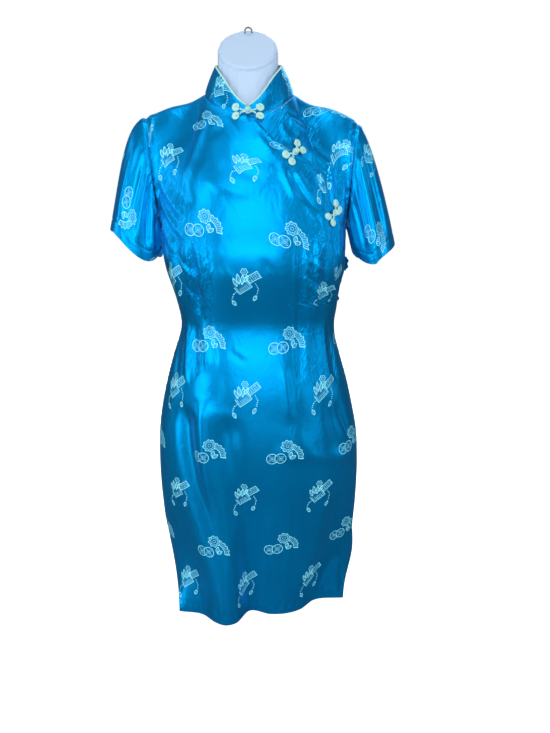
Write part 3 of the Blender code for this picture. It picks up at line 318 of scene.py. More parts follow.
# Its drawing: widths of the lines, beads and coins
LINE_SOFTNESS, LINE_WIDTH, DETAIL_WIDTH, FILL_TONE = 0.35, 0.52, 0.30, 0.05
BEAD_STEP = 3.4
COIN_RADIUS = 9.6
# Centre, turn, length and half width of the leaves and buds
LEAVES = (((-16.5, 2.5), 112, 7.5, 2.4), ((-11.5, 8.0), 100, 8.2, 2.6),
          ((-5.0, 7.0), 84, 8.0, 2.4), ((1.0, 9.5), 62, 6.5, 2.2))
BUDS = (((14.0, -9.5), 30, 5.4, 2.9), ((10.0, -4.5), 75, 5.4, 2.9))
# Strings of beads and the middle of the fringe at their ends
TASSELS = (((-14.0, -14.0), (-20.0, -19.5), (-23.0, -28.5), (-19.5, -35.0)),
           ((15.5, 2.0), (20.0, -7.0), (18.0, -17.5), (14.5, -25.5)))


def unit(vectors):
    """The same directions, one long."""
    return vectors / np.linalg.norm(vectors, axis=-1, keepdims=True)


def smooth(value):
    """0 below 0, 1 above 1 and a soft step between."""
    value = np.clip(value, 0.0, 1.0)
    return value * value * (3 - 2 * value)


def bell(distance, width):
    """A bell-shaped curve, 1 at no distance."""
    return np.exp(-(distance / width) ** 2)


def grids(*values):
    """Numbers and arrays spread over their common shape."""
    return np.broadcast_arrays(*(np.asarray(value, float) for value in values))


def stack(*values):
    """Points from their coordinates."""
    return np.stack(grids(*values), axis=-1)


def between(first, second, share):
    """Share of the way from first to second."""
    return first * (1 - share) + second * share


def bezier(start, start_reach, end_reach, end, f):
    """Cubic from start to end; the reaches are its handles' vectors."""
    f = f[..., None]
    return ((1 - f) ** 3 * start + 3 * f * (1 - f) ** 2 * (start + start_reach)
            + 3 * f * f * (1 - f) * (end - end_reach) + f ** 3 * end)


def read_table(rows, at):
    """Values of a table at a place in its first column, on a smooth cubic through its rows."""
    rows = rows[np.argsort(rows[:, 0])]
    key, value = rows[:, 0], rows[:, 1:]
    slope = np.gradient(value, key, axis=0)
    at = np.clip(np.asarray(at, float), key[0], key[-1])
    low = np.clip(np.searchsorted(key, at) - 1, 0, len(key) - 2)
    step = key[low + 1] - key[low]
    third = step[..., None] / 3
    return bezier(value[low], slope[low] * third, slope[low + 1] * third, value[low + 1],
                  (at - key[low]) / step)


def fold_rise(x, z):
    """Height of the front's folds: soft ridges and troughs along slanted lines."""
    x, z = x[..., None], z[..., None]
    top_x, top_z, low_x, low_z, width, rise = FOLDS.T
    away = x - between(top_x, low_x, (top_z - z) / (top_z - low_z))
    fade = smooth((top_z - z) / FOLD_FADE) * smooth((z - low_z) / FOLD_FADE)
    return (rise * fade * bell(away, width)).sum(axis=-1)


def girth(side, z, back=False):
    """Point below the arms: on the rounded section at its height, with the front's folds, and
    drawn over to the hem's own line from the flare's top down."""
    side, z = grids(side, z)
    left, right, front_y, back_y = np.moveaxis(read_table(SECTIONS, z), -1, 0)
    half = (right - left) / 2
    depth = back_y if back else -front_y
    angle = side * math.pi / 2
    around = np.arctan2(half * np.sin(angle), depth * np.cos(angle))
    across = np.abs(np.sin(around) / half) ** SECTION_ROUNDNESS
    onward = np.abs(np.cos(around) / depth) ** SECTION_ROUNDNESS
    radius = (across + onward) ** (-1 / SECTION_ROUNDNESS)
    x = (left + right) / 2 + radius * np.sin(around)
    away = radius * np.cos(around)
    if not back:
        rise = fold_rise(x, z) * (1 - side ** 8)
        x, away = x + rise * np.sin(angle), away + rise * np.cos(angle)
    point = stack(x, away if back else -away, z)
    flare_top = SLIT_TOP_Z + (FLARE_TOP_Z - SLIT_TOP_Z) * (1 - side ** 4) * (not back)
    flare = smooth((flare_top - z) / (flare_top - HEM_Z)) ** (1 + side ** 4)
    hem = read_table(BACK_HEM if back else FRONT_HEM, side)
    hem[..., 2] += z - HEM_Z
    return point + (hem - point) * flare[..., None]


def top_line(side, back):
    """Neckline up to the shoulder seam, and beyond it the seam out to its tip."""
    side = np.asarray(side, float)
    way = np.where(side < 0, -1.0, 1.0)
    angle = np.clip(np.abs(side) / NECK_SIDE, 0, 1) * math.pi / 2
    cos = np.cos(angle)
    rise = NECK_BACK_RISE * cos if back else -NECK_FRONT_DROP * cos ** 1.5
    out = np.clip((np.abs(side) - NECK_SIDE) / (1 - NECK_SIDE), 0, 1)
    neck_x = NECK_X + way * NECK_HALF_WIDTH * np.sin(angle)
    left_z, right_z = np.moveaxis(read_table(SHOULDERS, out), -1, 0)
    return stack(neck_x + (way * SHOULDER_TIP_X - neck_x) * out,
                 NECK_Y + (NECK_BACK if back else -NECK_FRONT) * cos,
                 np.where(out > 0, np.where(side < 0, left_z, right_z), NECK_Z + rise))


def bodice(side, rise, back=False):
    """Point above the arms' level: a cubic that leaves the girth in its own slope, or round the
    arm, and comes in to the neckline or the shoulder as rise goes from 0 to 1."""
    side, rise = grids(side, rise)
    step = 0.004
    low = girth(side, UNDERARM_Z, back)
    slope = (low - girth(side, UNDERARM_Z - step, back)) / step
    facing = np.array((1, -1 if back else 1, 1))
    low_reach = between(slope * BODICE_REACH, facing * ROUND_ARM_REACH, side[..., None] ** 6)
    from_neck = smooth(np.abs(side) / NECK_SIDE)[..., None]
    from_tip = smooth((np.abs(side) - TIP_START) / (1 - TIP_START))[..., None]
    top_reach = between(np.array(NECK_REACH[back]), facing * SHOULDER_REACH, from_neck)
    tip_reach = facing * TIP_REACH * stack(np.where(side < 0, -1, 1), 1, 1)
    top_reach = between(top_reach, tip_reach, from_tip)
    return bezier(low, low_reach, top_reach, top_line(side, back), rise)


def body(side, level, back=False):
    """Point of the body: the girth up to level 1, and the bodice from 1 to 2."""
    side, level = grids(side, level)
    skirt = girth(side, between(HEM_Z, UNDERARM_Z, np.clip(level, 0, 1)), back)
    chest = bodice(side, np.clip(level - 1, 0, 1), back)
    return np.where((level > 1)[..., None], chest, skirt)


def normals(surface, first, second):
    """Outward normals of surface(first, second), from its slopes."""
    step = 1e-4
    along = surface(first + step, second) - surface(first - step, second)
    up = surface(first, second + step) - surface(first, second - step)
    return unit(np.cross(along, up))


def draped(side, level, back=False):
    """Points of the body and their outward normals."""
    side, level = grids(side, level)
    widest = np.where(level > 1, ARMHOLE_NORMAL_SIDE, 0.9998)
    out = normals(lambda a, b: body(a, b, back), np.clip(side, -widest, widest),
                  np.clip(level, 0.0002, 1.9998))
    return body(side, level, back), -out if back else out


def overlap_side(level):
    """Side of the overlap's edge at each level, by halving: 1 where the front is whole."""
    low, high = np.full(level.shape, -0.3), np.ones(level.shape)
    for _ in range(40):
        middle = (low + high) / 2
        point = body(middle, level)
        beyond = point[..., 0] > read_table(OVERLAP, point[..., 2])[..., 0]
        beyond &= point[..., 2] > OVERLAP[0, 0]
        low, high = np.where(beyond, low, middle), np.where(beyond, middle, high)
    high = np.where(high > OVERLAP_WHOLE, 1.0, high)
    return np.where(level >= 2, 0.0, high)


def sleeve(shape, ring, along):
    """Point of a sleeve: a cubic from the armhole to an oval, tilted hem. The ring runs from 0 at
    the shoulder through 1 under the arm to 2 back at the shoulder."""
    ring, along = grids(np.asarray(ring) % 2, along)
    way, angle = shape["way"], ring * math.pi
    start = np.where((ring <= 1)[..., None], bodice(way, np.clip(1 - ring, 0, 1)),
                     bodice(way, np.clip(ring - 1, 0, 1), back=True))
    cos, sin = np.cos(angle)[..., None], np.sin(angle)[..., None]
    depth = np.array((0.0, -shape["depth"], 0.0))
    dip = np.array((0.0, 0.0, -shape["dip"])) * np.abs(sin) * (1 - shape["skew"] * cos)
    pinched = np.sign(cos) * np.abs(cos) ** shape["pinch"]
    end = np.array(shape["centre"]) + np.array(shape["across"]) * pinched + depth * sin + dip
    shares = np.clip(cos, 0, 1) ** 2, np.clip(-cos, 0, 1) ** 2, sin ** 2
    lead, pull = (sum(share * (way * x, 0.0, z) for share, (x, z) in zip(shares, reaches))
                  for reaches in ((shape["shoulder"], *SLEEVE_STARTS), SLEEVE_ENDS))
    return bezier(start, lead + sin * (0.0, SLEEVE_FORWARD, 0.0), pull, end, along)


def collar_dir(turn):
    """Way up along the collar: turn is 0 at the front centre, 90 at the right, 180 at the back."""
    angle = np.radians(turn)
    lean = np.where(np.cos(angle) > 0, COLLAR_LEAN_FRONT, COLLAR_LEAN_BACK) * np.cos(angle)
    return unit(stack(-COLLAR_LEAN_SIDE * np.sin(angle), lean, COLLAR_LEAN_UP))


def collar_base(turn):
    """Point of the neckline at a turn."""
    side = np.where(turn <= 180, turn / 180, (turn - 360) / 180)
    at_front = np.abs(side) <= NECK_SIDE
    front = top_line(np.where(at_front, side, NECK_SIDE), False)
    rear = top_line(np.where(at_front, NECK_SIDE, (180 - turn) / 180), True)
    return np.where(at_front[..., None], front, rear)


def collar_grid():
    """The stand collar's grid: its heights, points and normals. It climbs along its lean from the
    neckline, bulges in the middle and ripples a little."""
    rows, columns = FINE_COLLAR
    turns, up = grids(np.linspace(COLLAR_GAP_DEGREES, 360 - COLLAR_GAP_DEGREES, columns),
                      np.linspace(0, 1, rows)[:, None])
    height = read_table(COLLAR_HEIGHTS, np.minimum(turns, 360 - turns)) * up[..., None]
    out = unit(np.cross(collar_base(turns + 0.5) - collar_base(turns - 0.5), collar_dir(turns)))
    lift = (COLLAR_BULGE + COLLAR_RIPPLE * np.sin(turns / 11.0)) * np.sin(math.pi * up)
    lift = lift - COLLAR_DIP * bell(up, 0.06)
    return up, raised(collar_base(turns) + collar_dir(turns) * height, out, lift), out


def raised(base, out, lift):
    """Points moved along their normals."""
    return base + out * lift[..., None]


def lap_share(level, edge):
    """1 along the overlap's middle, fading out towards the side seam and the neckline."""
    return smooth((1 - edge) / LAP_FADE) * smooth((2 - level) / LAP_FADE)


def crease_rise(points, rows):
    """Sum of creases: each is a bowed line with a bell-shaped section and ends that fade."""
    x, z = points[..., 0], points[..., 2]
    total = np.zeros_like(x)
    for x0, z0, x1, z1, width, rise, bow in rows:
        along_x, along_z = x1 - x0, z1 - z0
        length = math.hypot(along_x, along_z)
        f = ((x - x0) * along_x + (z - z0) * along_z) / length ** 2
        away = ((x - x0) * along_z - (z - z0) * along_x) / length - 4 * bow * f * (1 - f)
        total += rise * smooth(f / CREASE_FADE) * smooth((1 - f) / CREASE_FADE) * bell(away, width)
    return total * dress().crease_depth


def seam_dip(away, along):
    """A sewn edge: the cloth turns in at the seam, rises beside it, and small puckers cross it."""
    wave = SEAM_PUCKER * np.sin(2 * math.pi * along / PUCKER_STEP + 3 * np.sin(along * 90))
    return (RIDGE_RISE * bell(away - RIDGE_PLACE, RIDGE_WIDTH) - SEAM_DEPTH * bell(away, SEAM_WIDTH)
            + wave * bell(away, SEAM_PUCKER_REACH))


def settle(lift):
    """Keeps troughs clear of the form: they flatten out towards the deepest place."""
    return np.where(lift < 0, -DEEPEST * np.tanh(-lift / DEEPEST), lift)


def waist_rise(points):
    """A sharp valley along the waist, deepest in the middle of the front."""
    x, z = points[..., 0], points[..., 2]
    across = smooth((x - WAIST_LEFT) / WAIST_FADE) * smooth((WAIST_RIGHT - x) / WAIST_FADE)
    below = WAIST_Z - WAIST_DROP * x ** 2 - z
    reach = np.where(below > 0, WAIST_BELOW, WAIST_ABOVE)
    return -WAIST_DEPTH * across * np.exp(-np.abs(below) / reach)


def hem_rise(points):
    """The turned-up hem: a stitched groove above the edge with shallow puckers across it."""
    above = distance(points, points[[0]]) - HEM_STITCH_RISE
    x = points[..., 0]
    wave = HEM_PUCKER * np.sin(x * 2 * math.pi / HEM_PUCKER_STEP + 2 * np.sin(x * 60))
    return wave * bell(above, HEM_PUCKER_REACH) - HEM_GROOVE * bell(above, STITCH_WIDTH)


def pucker_share(points, zones, seams=()):
    """Share of fine puckers: its own in each gathered zone, with soft edges, and more at seams."""
    x, z = points[..., 0], points[..., 2]
    total = np.full_like(x, PUCKER_REST)
    for left, right, low, high, share in zones:
        inside = smooth(np.array((x - left, right - x, z - low, high - z)) / PUCKER_EDGE + 0.5)
        total = np.maximum(total, share * inside.prod(axis=0))
    for to_seam in seams:
        total = np.maximum(total, SEAM_SHARE * bell(to_seam, SEAM_REACH))
    return total


def distance(points, others):
    """Distance between points."""
    return np.linalg.norm(points - others, axis=-1)


def lengths(points, axis=0):
    """Length from the first point along each line of a grid."""
    steps = np.diff(points, axis=axis, prepend=np.take(points, [0], axis))
    return np.cumsum(np.linalg.norm(steps, axis=-1), axis=axis)


def divided(value, by):
    """A quotient whose divisor stays off 0."""
    return value / np.where(np.abs(by) < 1e-7, 1e-7, by)


def cloth_uv(points, mirror=1.0, seam=False):
    """Places on the flat cloth: u is the length round the body at one height, from the pattern's
    line or from the last column's seam, and v the length up the body."""
    x, y, z = np.moveaxis(points, -1, 0)
    (x_row, x_col), (y_row, y_col), (z_row, z_col) = (np.gradient(a) for a in (x, y, z))
    # One column's step, taken level: its length, then the part along the row's own lean
    lean = divided(z_col, z_row)
    level_x, level_y = x_col - x_row * lean, y_col - y_row * lean
    stretch = np.sqrt(1 + np.clip(divided(level_y, level_x), -2.5, 2.5) ** 2)
    step = np.sign(level_x) * np.hypot(level_x, level_y) + stretch * x_row * lean
    u = np.cumsum(np.pad((step[:, 1:] + step[:, :-1]) / 2, ((0, 0), (1, 0))), axis=1)
    line = read_table(PATTERN_LINE, z)[..., 0]
    near = np.argmin(np.abs(x - line), axis=1)[:, None]
    zero = u[:, -1:] if seam else np.take_along_axis(u + (line - x) * stretch, near, axis=1)
    rise, run = np.diff(z, axis=0), np.diff(y, axis=0)
    v = z + np.pad(np.cumsum(np.hypot(rise, run) - np.abs(rise), axis=0), ((1, 0), (0, 0)))
    return stack((u - zero) * mirror, v + CHEST_STRETCH * np.clip(v - CHEST_STRETCH_Z, 0, None))


def turned_pattern(uv, centre, degrees, motif):
    """The cloth's places turned about a centre, which lands on a motif's middle."""
    cos, sin = math.cos(math.radians(degrees)), math.sin(math.radians(degrees))
    return (uv - centre) @ np.array(((cos, sin), (-sin, cos))) + np.array(motif) / 1000


def faces(lines):
    """Quads between the neighbouring lines of a grid of point numbers."""
    grid = np.asarray(lines)
    corners = grid[:-1, :-1], grid[:-1, 1:], grid[1:, 1:], grid[1:, :-1]
    return np.stack(corners, axis=-1).reshape(-1, 4)


def placed(name, data):
    """A new object in the scene."""
    made = bpy.data.objects.new(name, data)
    bpy.context.scene.collection.objects.link(made)
    return made


def put_mesh(name, node, slot, part, pucker=None):
    """A piece that stands for a node, from its arrays of points, quads, the quads' places in the
    UV list, and UV, with its share of fine puckers."""
    points, quads, uv_quads, uv = part
    mesh = bpy.data.meshes.new(name)
    mesh.from_pydata(points, [], quads, shade_flat=False)
    layer = mesh.uv_layers.new(name="cloth")
    layer.data.foreach_set("uv", uv[uv_quads.ravel()].astype(np.float32).ravel())
    mesh.set_sharp_from_angle(angle=math.radians(60))
    if pucker is not None:
        shares = mesh.attributes.new("pucker", "FLOAT", "POINT")
        shares.data.foreach_set("value", pucker.astype(np.float32).ravel())
    mesh.validate()
    mesh.materials.append(material(*FINISHES[slot]))
    piece = placed(name, mesh)
    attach(piece, "root")
    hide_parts(node)
    return piece


def shell(name, node, outer, out, uv, pucker, wrap=False, layers=1.0):
    """A cloth wall: the outer grid, the same a thickness deeper, and strips that close its rims."""
    inner = outer - out * dress().thickness * layers
    index = np.arange(outer.shape[0] * outer.shape[1]).reshape(outer.shape[:2])
    if wrap:
        index = np.concatenate([index, index[:, :1]], axis=1)
    quads = []
    for a in (index, np.arange(uv.shape[0] * uv.shape[1]).reshape(uv.shape[:2])):
        b = a + a.max() + 1
        strips = [a, b[::-1], (b[0], a[0]), (a[-1], b[-1])]
        if not wrap:
            strips += [(b[::-1, 0], a[::-1, 0]), (a[::-1, -1], b[::-1, -1])]
        quads.append(np.concatenate([faces(strip) for strip in strips]))
    pucker = np.tile(np.broadcast_to(pucker, outer.shape[:2]).ravel(), 2)
    part = np.concatenate([outer, inner]).reshape(-1, 3), *quads, np.tile(uv.reshape(-1, 2), (2, 1))
    return put_mesh(name, node, "satin", part, pucker)


def fine_levels(count):
    """Levels from the hem to the neckline, evenly along the cloth."""
    skirt = round(count * 0.76)
    return np.concatenate([np.linspace(0, 1, skirt, endpoint=False),
                           np.linspace(1, 2, count - skirt)])[:, None]


def front_grid():
    """The front from the left seam to the overlap's edge: its share of the overlap, points,
    normals and the lift that takes it over the yoke."""
    level = fine_levels(FINE_FRONT[0])
    edge = overlap_side(level)
    side = -1 + (edge + 1) * np.linspace(0, 1, FINE_FRONT[1])
    share = lap_share(level, edge)
    lift = LAP_RISE * share * (1 - smooth((edge - side - LAP_FLAT) / LAP_SLOPE))
    return share, *draped(side, level), lift


def yoke_grid(under):
    """Levels, sides and the overlap's edge, from a width under that edge to the right armhole."""
    low = (OVERLAP[0, 0] + YOKE_START - HEM_Z) / (UNDERARM_Z - HEM_Z)
    level = np.linspace(low, 2, FINE_YOKE[0])[:, None]
    edge = overlap_side(level)
    start = edge - under * lap_share(level, edge) * smooth((1 - edge) / 0.2)
    return level, between(start, 1, np.linspace(0, 1, FINE_YOKE[1])), edge


def make_front():
    """The front: creases, a valley at the waist, a dip at the seam, a rolled edge and a hem."""
    share, base, out, lift = front_grid()
    z = base[..., 2]
    to_seam, to_edge = distance(base, base[:, [0]]), distance(base, base[:, [-1]])
    lift = lift + crease_rise(base, FRONT_CREASES) + waist_rise(base)
    lift = settle(lift + seam_dip(to_seam, z) * (z > SLIT_TOP_Z)) + hem_rise(base)
    lift += share * EDGE_ROLL * bell(to_edge - EDGE_ROLL_WIDTH, EDGE_ROLL_WIDTH)
    lift -= share * EDGE_DIP * bell(to_edge, EDGE_DIP_WIDTH)
    pucker = pucker_share(base, FRONT_PUCKERS, [to_seam])
    pucker = np.maximum(pucker, EDGE_SHARE * share * bell(to_edge, EDGE_REACH))
    return shell("front", "front_panel", raised(base, out, lift), out, cloth_uv(base), pucker)


def make_yoke():
    """The under part of the crossed front, which dips beside the overlap's edge."""
    level, side, edge = yoke_grid(LAP_WIDTH)
    base, out = draped(side, level)
    to_seam = distance(base, base[:, [-1]])
    beyond = (side - edge) / YOKE_DIP_WIDTH
    lift = crease_rise(base, YOKE_CREASES) * smooth(beyond) - YOKE_SINK
    lift = lift - YOKE_DIP * bell(np.clip(beyond, -0.2, None), 1)
    lift = settle(lift + seam_dip(to_seam, base[..., 2]))
    x, z, turn = YOKE_MOTIF
    uv = cloth_uv(base, seam=True)
    near = np.argmin(np.hypot(base[..., 0] - x, base[..., 2] - z))
    uv = turned_pattern(uv, uv.reshape(-1, 2)[near], turn, TREASURE_MIDDLE)
    return shell("yoke", "yoke_panel", raised(base, out, lift), out, uv,
                 pucker_share(base, YOKE_PUCKERS, [to_seam]))


def make_back():
    """The back, from the right seam round to the left one: creases, dips at both and a hem."""
    base, out = draped(np.linspace(1, -1, FINE_BACK[1]), fine_levels(FINE_BACK[0]), back=True)
    z = base[..., 2]
    dips = sum(seam_dip(distance(base, base[:, [column]]), z) for column in (0, -1))
    lift = settle(crease_rise(base, BACK_CREASES) + dips * (z > SLIT_TOP_Z)) + hem_rise(base)
    return shell("back", "back_panel", raised(base, out, lift), out, cloth_uv(base, -1.0),
                 pucker_share(base, BACK_PUCKERS))


def make_sleeve(name):
    """A sleeve as a tube from its stitched hem to its armhole, with creases down its length."""
    shape = SLEEVES[name]
    ring, along = grids(np.linspace(1, 3, FINE_SLEEVE[1] + 1)[::-shape["way"]],
                        np.linspace(1, 0, FINE_SLEEVE[0])[:, None])
    base = sleeve(shape, ring, along)
    out = normals(lambda a, b: sleeve(shape, a, b), ring, np.clip(along, 0.01, 0.99)) * shape["way"]
    out[:, -1] = out[:, 0]
    above, to_seam = distance(base, base[[0]]), distance(base, base[[-1]])
    lift = sum(crease_rise(stack(ring % 2 + shift, 0, along), SLEEVE_CREASES[name])
               for shift in (0, -2, 2))
    lift = lift * smooth(along / 0.06) + seam_dip(to_seam, ring * SLEEVE_GIRTH)
    lift = lift - SLEEVE_GROOVE * bell(above - SLEEVE_HEM, STITCH_WIDTH)
    place, share, turn = SLEEVE_PATTERN[name]
    column, row = np.argmin(np.abs(ring[0] - 2 - place)), np.argmin(np.abs(along[:, 0] - share))
    s = lengths(base, 1)
    uv = stack(s - s[:, [column]], lengths(base))
    uv = turned_pattern(uv, uv[row, column], turn, COIN_MIDDLE)
    pucker = (PUCKER_REST + ARMHOLE_SHARE * bell(to_seam, EDGE_REACH)
              + SLEEVE_HEM_SHARE * bell(above, EDGE_REACH))
    outer = raised(base, out, lift)[:, :-1]
    return shell(f"{name}_sleeve_cloth", f"sleeve_{name}", outer, out[:, :-1], uv, pucker[:, :-1],
                 wrap=True)


def make_collar():
    """The stand collar, open at the front."""
    up, outer, out = collar_grid()
    uv = stack(lengths(outer[0]) + 0.03, 0.046 * up + 0.05)
    return shell("collar_band", "collar", outer, out, uv, COLLAR_SHARE, layers=COLLAR_LAYERS)


def make_piping():
    """Cord along the collar's top edge."""
    _, outer, out = collar_grid()
    across = out[-1]
    middle = outer[-1] - across * dress().thickness * COLLAR_LAYERS / 2
    rise = unit(np.cross(across, np.gradient(middle, axis=0)))
    rise = rise * np.where(rise[:, 2:] < 0, -1.0, 1.0)
    cord = tube(middle + rise * PIPING_RADIUS * 0.8, across, PIPING_RADIUS, 14)
    return put_mesh("collar_cord", "collar_piping", "cord", cord)


def make_tab():
    """Loose end of the placket beside the side opening: it flares away from the body."""
    f, g = grids(np.linspace(0, 1, 40), np.linspace(0, 1, 36)[:, None])
    height = TAB_Z + 0.0025 * np.sin(f * 5)
    height = height + (g - 0.5) * (TAB_WIDTH + 0.007 * np.sin(f * math.pi * 0.75))
    level = (height - HEM_Z) / (UNDERARM_Z - HEM_Z)
    base, out = draped(TAB_SIDE + TAB_LENGTH * f, level, back=True)
    flare = 0.0012 + TAB_FLARE * f ** 2 * (0.75 + 0.25 * np.sin(g * math.pi))
    outer = raised(base, out, flare + 0.0012 * f * np.sin(g * 14 + f * 4))
    outer[..., 1] -= TAB_FORWARD * f ** 3
    return shell("placket_tab", "side_tab", outer[:, ::-1], out[:, ::-1],
                 cloth_uv(base[:, ::-1], -1.0), 1.0)


def tube(path, up, radius, corners=12, closed=False):
    """A round cord: circles square to a path, from the way across up, with rounded ends."""
    along = unit(np.roll(path, -1, axis=0) - np.roll(path, 1, axis=0) if closed
                 else np.gradient(path, axis=0))
    across = unit(np.cross(along, up))
    rise = np.cross(across, along)
    angle = np.linspace(0, 2 * math.pi, corners, endpoint=False)[::-1, None]
    circles = across[:, None] * np.cos(angle) + rise[:, None] * np.sin(angle)
    points = (path[:, None] + radius * circles).reshape(-1, 3)
    index, steps = np.arange(len(points)).reshape(-1, corners), lengths(path)
    if closed:
        index = np.concatenate([index, index[:1]])
        steps = np.append(steps, steps[-1] + distance(path[0], path[-1]))
    index = np.concatenate([index, index[:, :1]], axis=1)
    uv = stack(np.arange(corners + 1) / corners, steps[:, None])
    quads, uv_quads = faces(index), faces(np.arange(uv.size // 2).reshape(uv.shape[:2]))
    if not closed:
        for line, end, way in ((index[0, -2::-1], 0, -0.5), (index[-1, :-1], -1, 0.5)):
            tip = np.full(corners // 2, len(points))
            points = np.append(points, [path[end] + along[end] * radius * way], axis=0)
            cap = np.stack([line[::2], line[1::2], np.roll(line, -2)[::2], tip], axis=1)
            quads, uv_quads = np.append(quads, cap, axis=0), np.append(uv_quads, cap * 0, axis=0)
    return points, quads, uv_quads, uv.reshape(-1, 2)


def joined(parts):
    """Several parts as one."""
    whole = parts[0]
    for part in parts[1:]:
        shifts = 0, len(whole[0]), len(whole[3]), 0
        whole = [np.concatenate([a, b + shift]) for a, b, shift in zip(whole, part, shifts)]
    return whole


def coil(x, turn):
    """Flat coil of cord from its centre outwards, raised a little in the middle."""
    f = np.linspace(0, 1, 150)
    angle = turn + 2 * math.pi * COIL_TURNS * (f - 1)
    radius = between(COIL_START, DISC_RADIUS - CORD_RADIUS, f)
    return stack(x + radius * np.cos(angle), radius * np.sin(angle),
                 CORD_RADIUS + COIL_START * (1 - f) ** 1.5)


def frog_parts(kind, spread):
    """One half of a frog lying flat: two coiled discs, the stems, and the knot or the loop."""
    way = 1 if kind == "knot" else -1
    parts = []
    for sign in (-1, 1):
        disc = coil(way * spread / 2, (math.pi if way > 0 else 0.0) + 0.6 * way)
        disc = disc * (1, -way * sign, 1) + (0, sign * DISC_OFFSET, 0)
        start, *ends = STEM * (way, sign, 1)
        stem = bezier(start + (way * spread / 2, 0, 0), *ends, np.linspace(0, 1, 50))
        parts += [tube(disc, UP, CORD_RADIUS), tube(stem, UP, CORD_RADIUS)]
    angle = np.linspace(0, 2 * math.pi, 60, endpoint=False)[:, None]
    cos, sin = np.cos(angle), np.sin(angle)
    if kind == "loop":
        ring = cos * (LOOP_RADIUS * 1.05, 0, 0) + sin * (0, LOOP_RADIUS, 0) + UP * LOOP_HEIGHT
        return joined([*parts, tube(ring, UP, CORD_RADIUS, closed=True)])
    for turn in range(3):
        lean = turn * math.pi / 3 + 0.4
        axis = unit(np.array((math.cos(lean) * 0.8, math.sin(lean) * 0.8, 0.6)))
        first = unit(np.cross(axis, (0.3, 0.5, -0.8)))
        ring = (first * cos + np.cross(axis, first) * sin) * KNOT_RADIUS + UP * KNOT_HEIGHT
        parts += [tube(ring + axis * shift, axis, CORD_RADIUS, 10, closed=True)
                  for shift in (-KNOT_SPREAD, KNOT_SPREAD)]
    stem = np.linspace(UP * 0.0008, UP * KNOT_HEIGHT, 12)
    return joined([*parts, tube(stem, np.array((0.0, 1.0, 0.0)), KNOT_STEM_RADIUS)])


def quadratic(a, b):
    """Terms of a quadratic in two places."""
    return stack(1, a, b, a * a, a * b, b * b)


def front_cloth():
    """Outer points of the front, the yoke and the collar."""
    level, side, _ = yoke_grid(0)
    sheets = raised(*front_grid()[1:]), body(side, level), collar_grid()[1]
    return np.concatenate([sheet.reshape(-1, 3) for sheet in sheets])


def seat_frog(points, x, z, tilt, spread):
    """A frog's seat: its centre and axes on the plane nearest to the cloth round it, the weights
    of the quadratic nearest to what the plane leaves, and the lift that clears the cloth."""
    patch = points[(distance(points[:, ::2], (x, z)) < spread / 2 + DISC_RADIUS + DISC_OFFSET)
                   & (points[:, 1] < 0)]
    flat = stack(1, patch[:, 0] - x, patch[:, 2] - z)
    plane = np.linalg.lstsq(flat, patch[:, 1], rcond=None)[0]
    normal = unit(np.array((plane[1], -1.0, plane[2])))
    centre = np.array((x, plane[0], z))
    level = unit(np.cross(normal, -UP))
    turn = math.radians(tilt)
    first = level * math.cos(turn) + np.cross(normal, level) * math.sin(turn)
    axes = np.array((first, np.cross(normal, first), normal))
    a, b, height = ((patch - centre) @ axes.T).T
    terms = quadratic(a, b)
    weights = np.linalg.lstsq(terms, height, rcond=None)[0]
    under = (np.abs(a) < spread / 2 + DISC_RADIUS) & (np.abs(b) < DISC_OFFSET + DISC_RADIUS * 0.7)
    return centre, axes, weights, np.quantile((height - terms @ weights)[under], 0.97)


def make_frog(name, points):
    """Both halves of a frog, bent to the cloth under them."""
    centre, axes, weights, lift = seat_frog(points, *FROGS[name])
    for kind in ("knot", "loop"):
        flat, *rest = frog_parts(kind, FROGS[name][-1])
        a, b, height = flat.T
        world = centre + stack(a, b, quadratic(a, b) @ weights + lift + height) @ axes
        put_mesh(f"frog_{name}_{kind}_cord", f"frog_{name}_{kind}", "cord", (world, *rest))


def node(tree, kind, *inputs, out=0, **settings):
    """An output of a new node. Its inputs are fields or plain values, in the node's own order."""
    made = tree.nodes.new(kind)
    for key, value in settings.items():
        setattr(made, key, value)
    for place, value in enumerate(inputs):
        put(tree, made.inputs[place], value)
    return Field(tree, made.outputs[out])


def put(tree, socket, value):
    """Links a field to a socket, or sets the socket."""
    if isinstance(value, Field):
        tree.links.new(value.socket, socket)
    elif value is not None:
        socket.default_value = value


class Field:
    """An output of a node. Arithmetic on it adds nodes to its tree."""

    def __init__(self, tree, socket):
        self.tree, self.socket = tree, socket

    def math(self, operation, *others, clamp=False):
        """Result of a Math node."""
        return node(self.tree, "ShaderNodeMath", self, *others, operation=operation,
                    use_clamp=clamp)

    def vector(self, operation, *others, out=0):
        """Result of a Vector Math node; out=1 is its plain number."""
        return node(self.tree, "ShaderNodeVectorMath", self, *others, operation=operation, out=out)

    def __rsub__(self, other):
        return node(self.tree, "ShaderNodeMath", other, self, operation="SUBTRACT")

    __add__ = partialmethod(math, "ADD")
    __sub__ = partialmethod(math, "SUBTRACT")
    __mul__ = partialmethod(math, "MULTIPLY")
    __abs__ = partialmethod(math, "ABSOLUTE")

    def scaled(self, factor, offset):
        """Itself times a factor, plus an offset."""
        return self.math("MULTIPLY_ADD", factor, offset)

    def wave(self, kind, count=1.0):
        """Sine or cosine of so many times itself."""
        return (self * count).math(kind)

    def bars(self, step):
        """Distance to the nearest of the bars that stand a step apart."""
        return abs(self.math("PINGPONG", step) - step / 2)

    def noise(self, stretch, detail=2.0, roughness=0.5, distortion=0.0):
        """Noise from 0 to 1 over a place that is stretched along its axes."""
        return node(self.tree, "ShaderNodeTexNoise", self.vector("MULTIPLY", stretch), None, 1.0,
                    detail, roughness, None, None, None, distortion)


def least(first, *others):
    """Smallest of the fields: the nearest of several lines."""
    for other in others:
        first = first.math("MINIMUM", other)
    return first


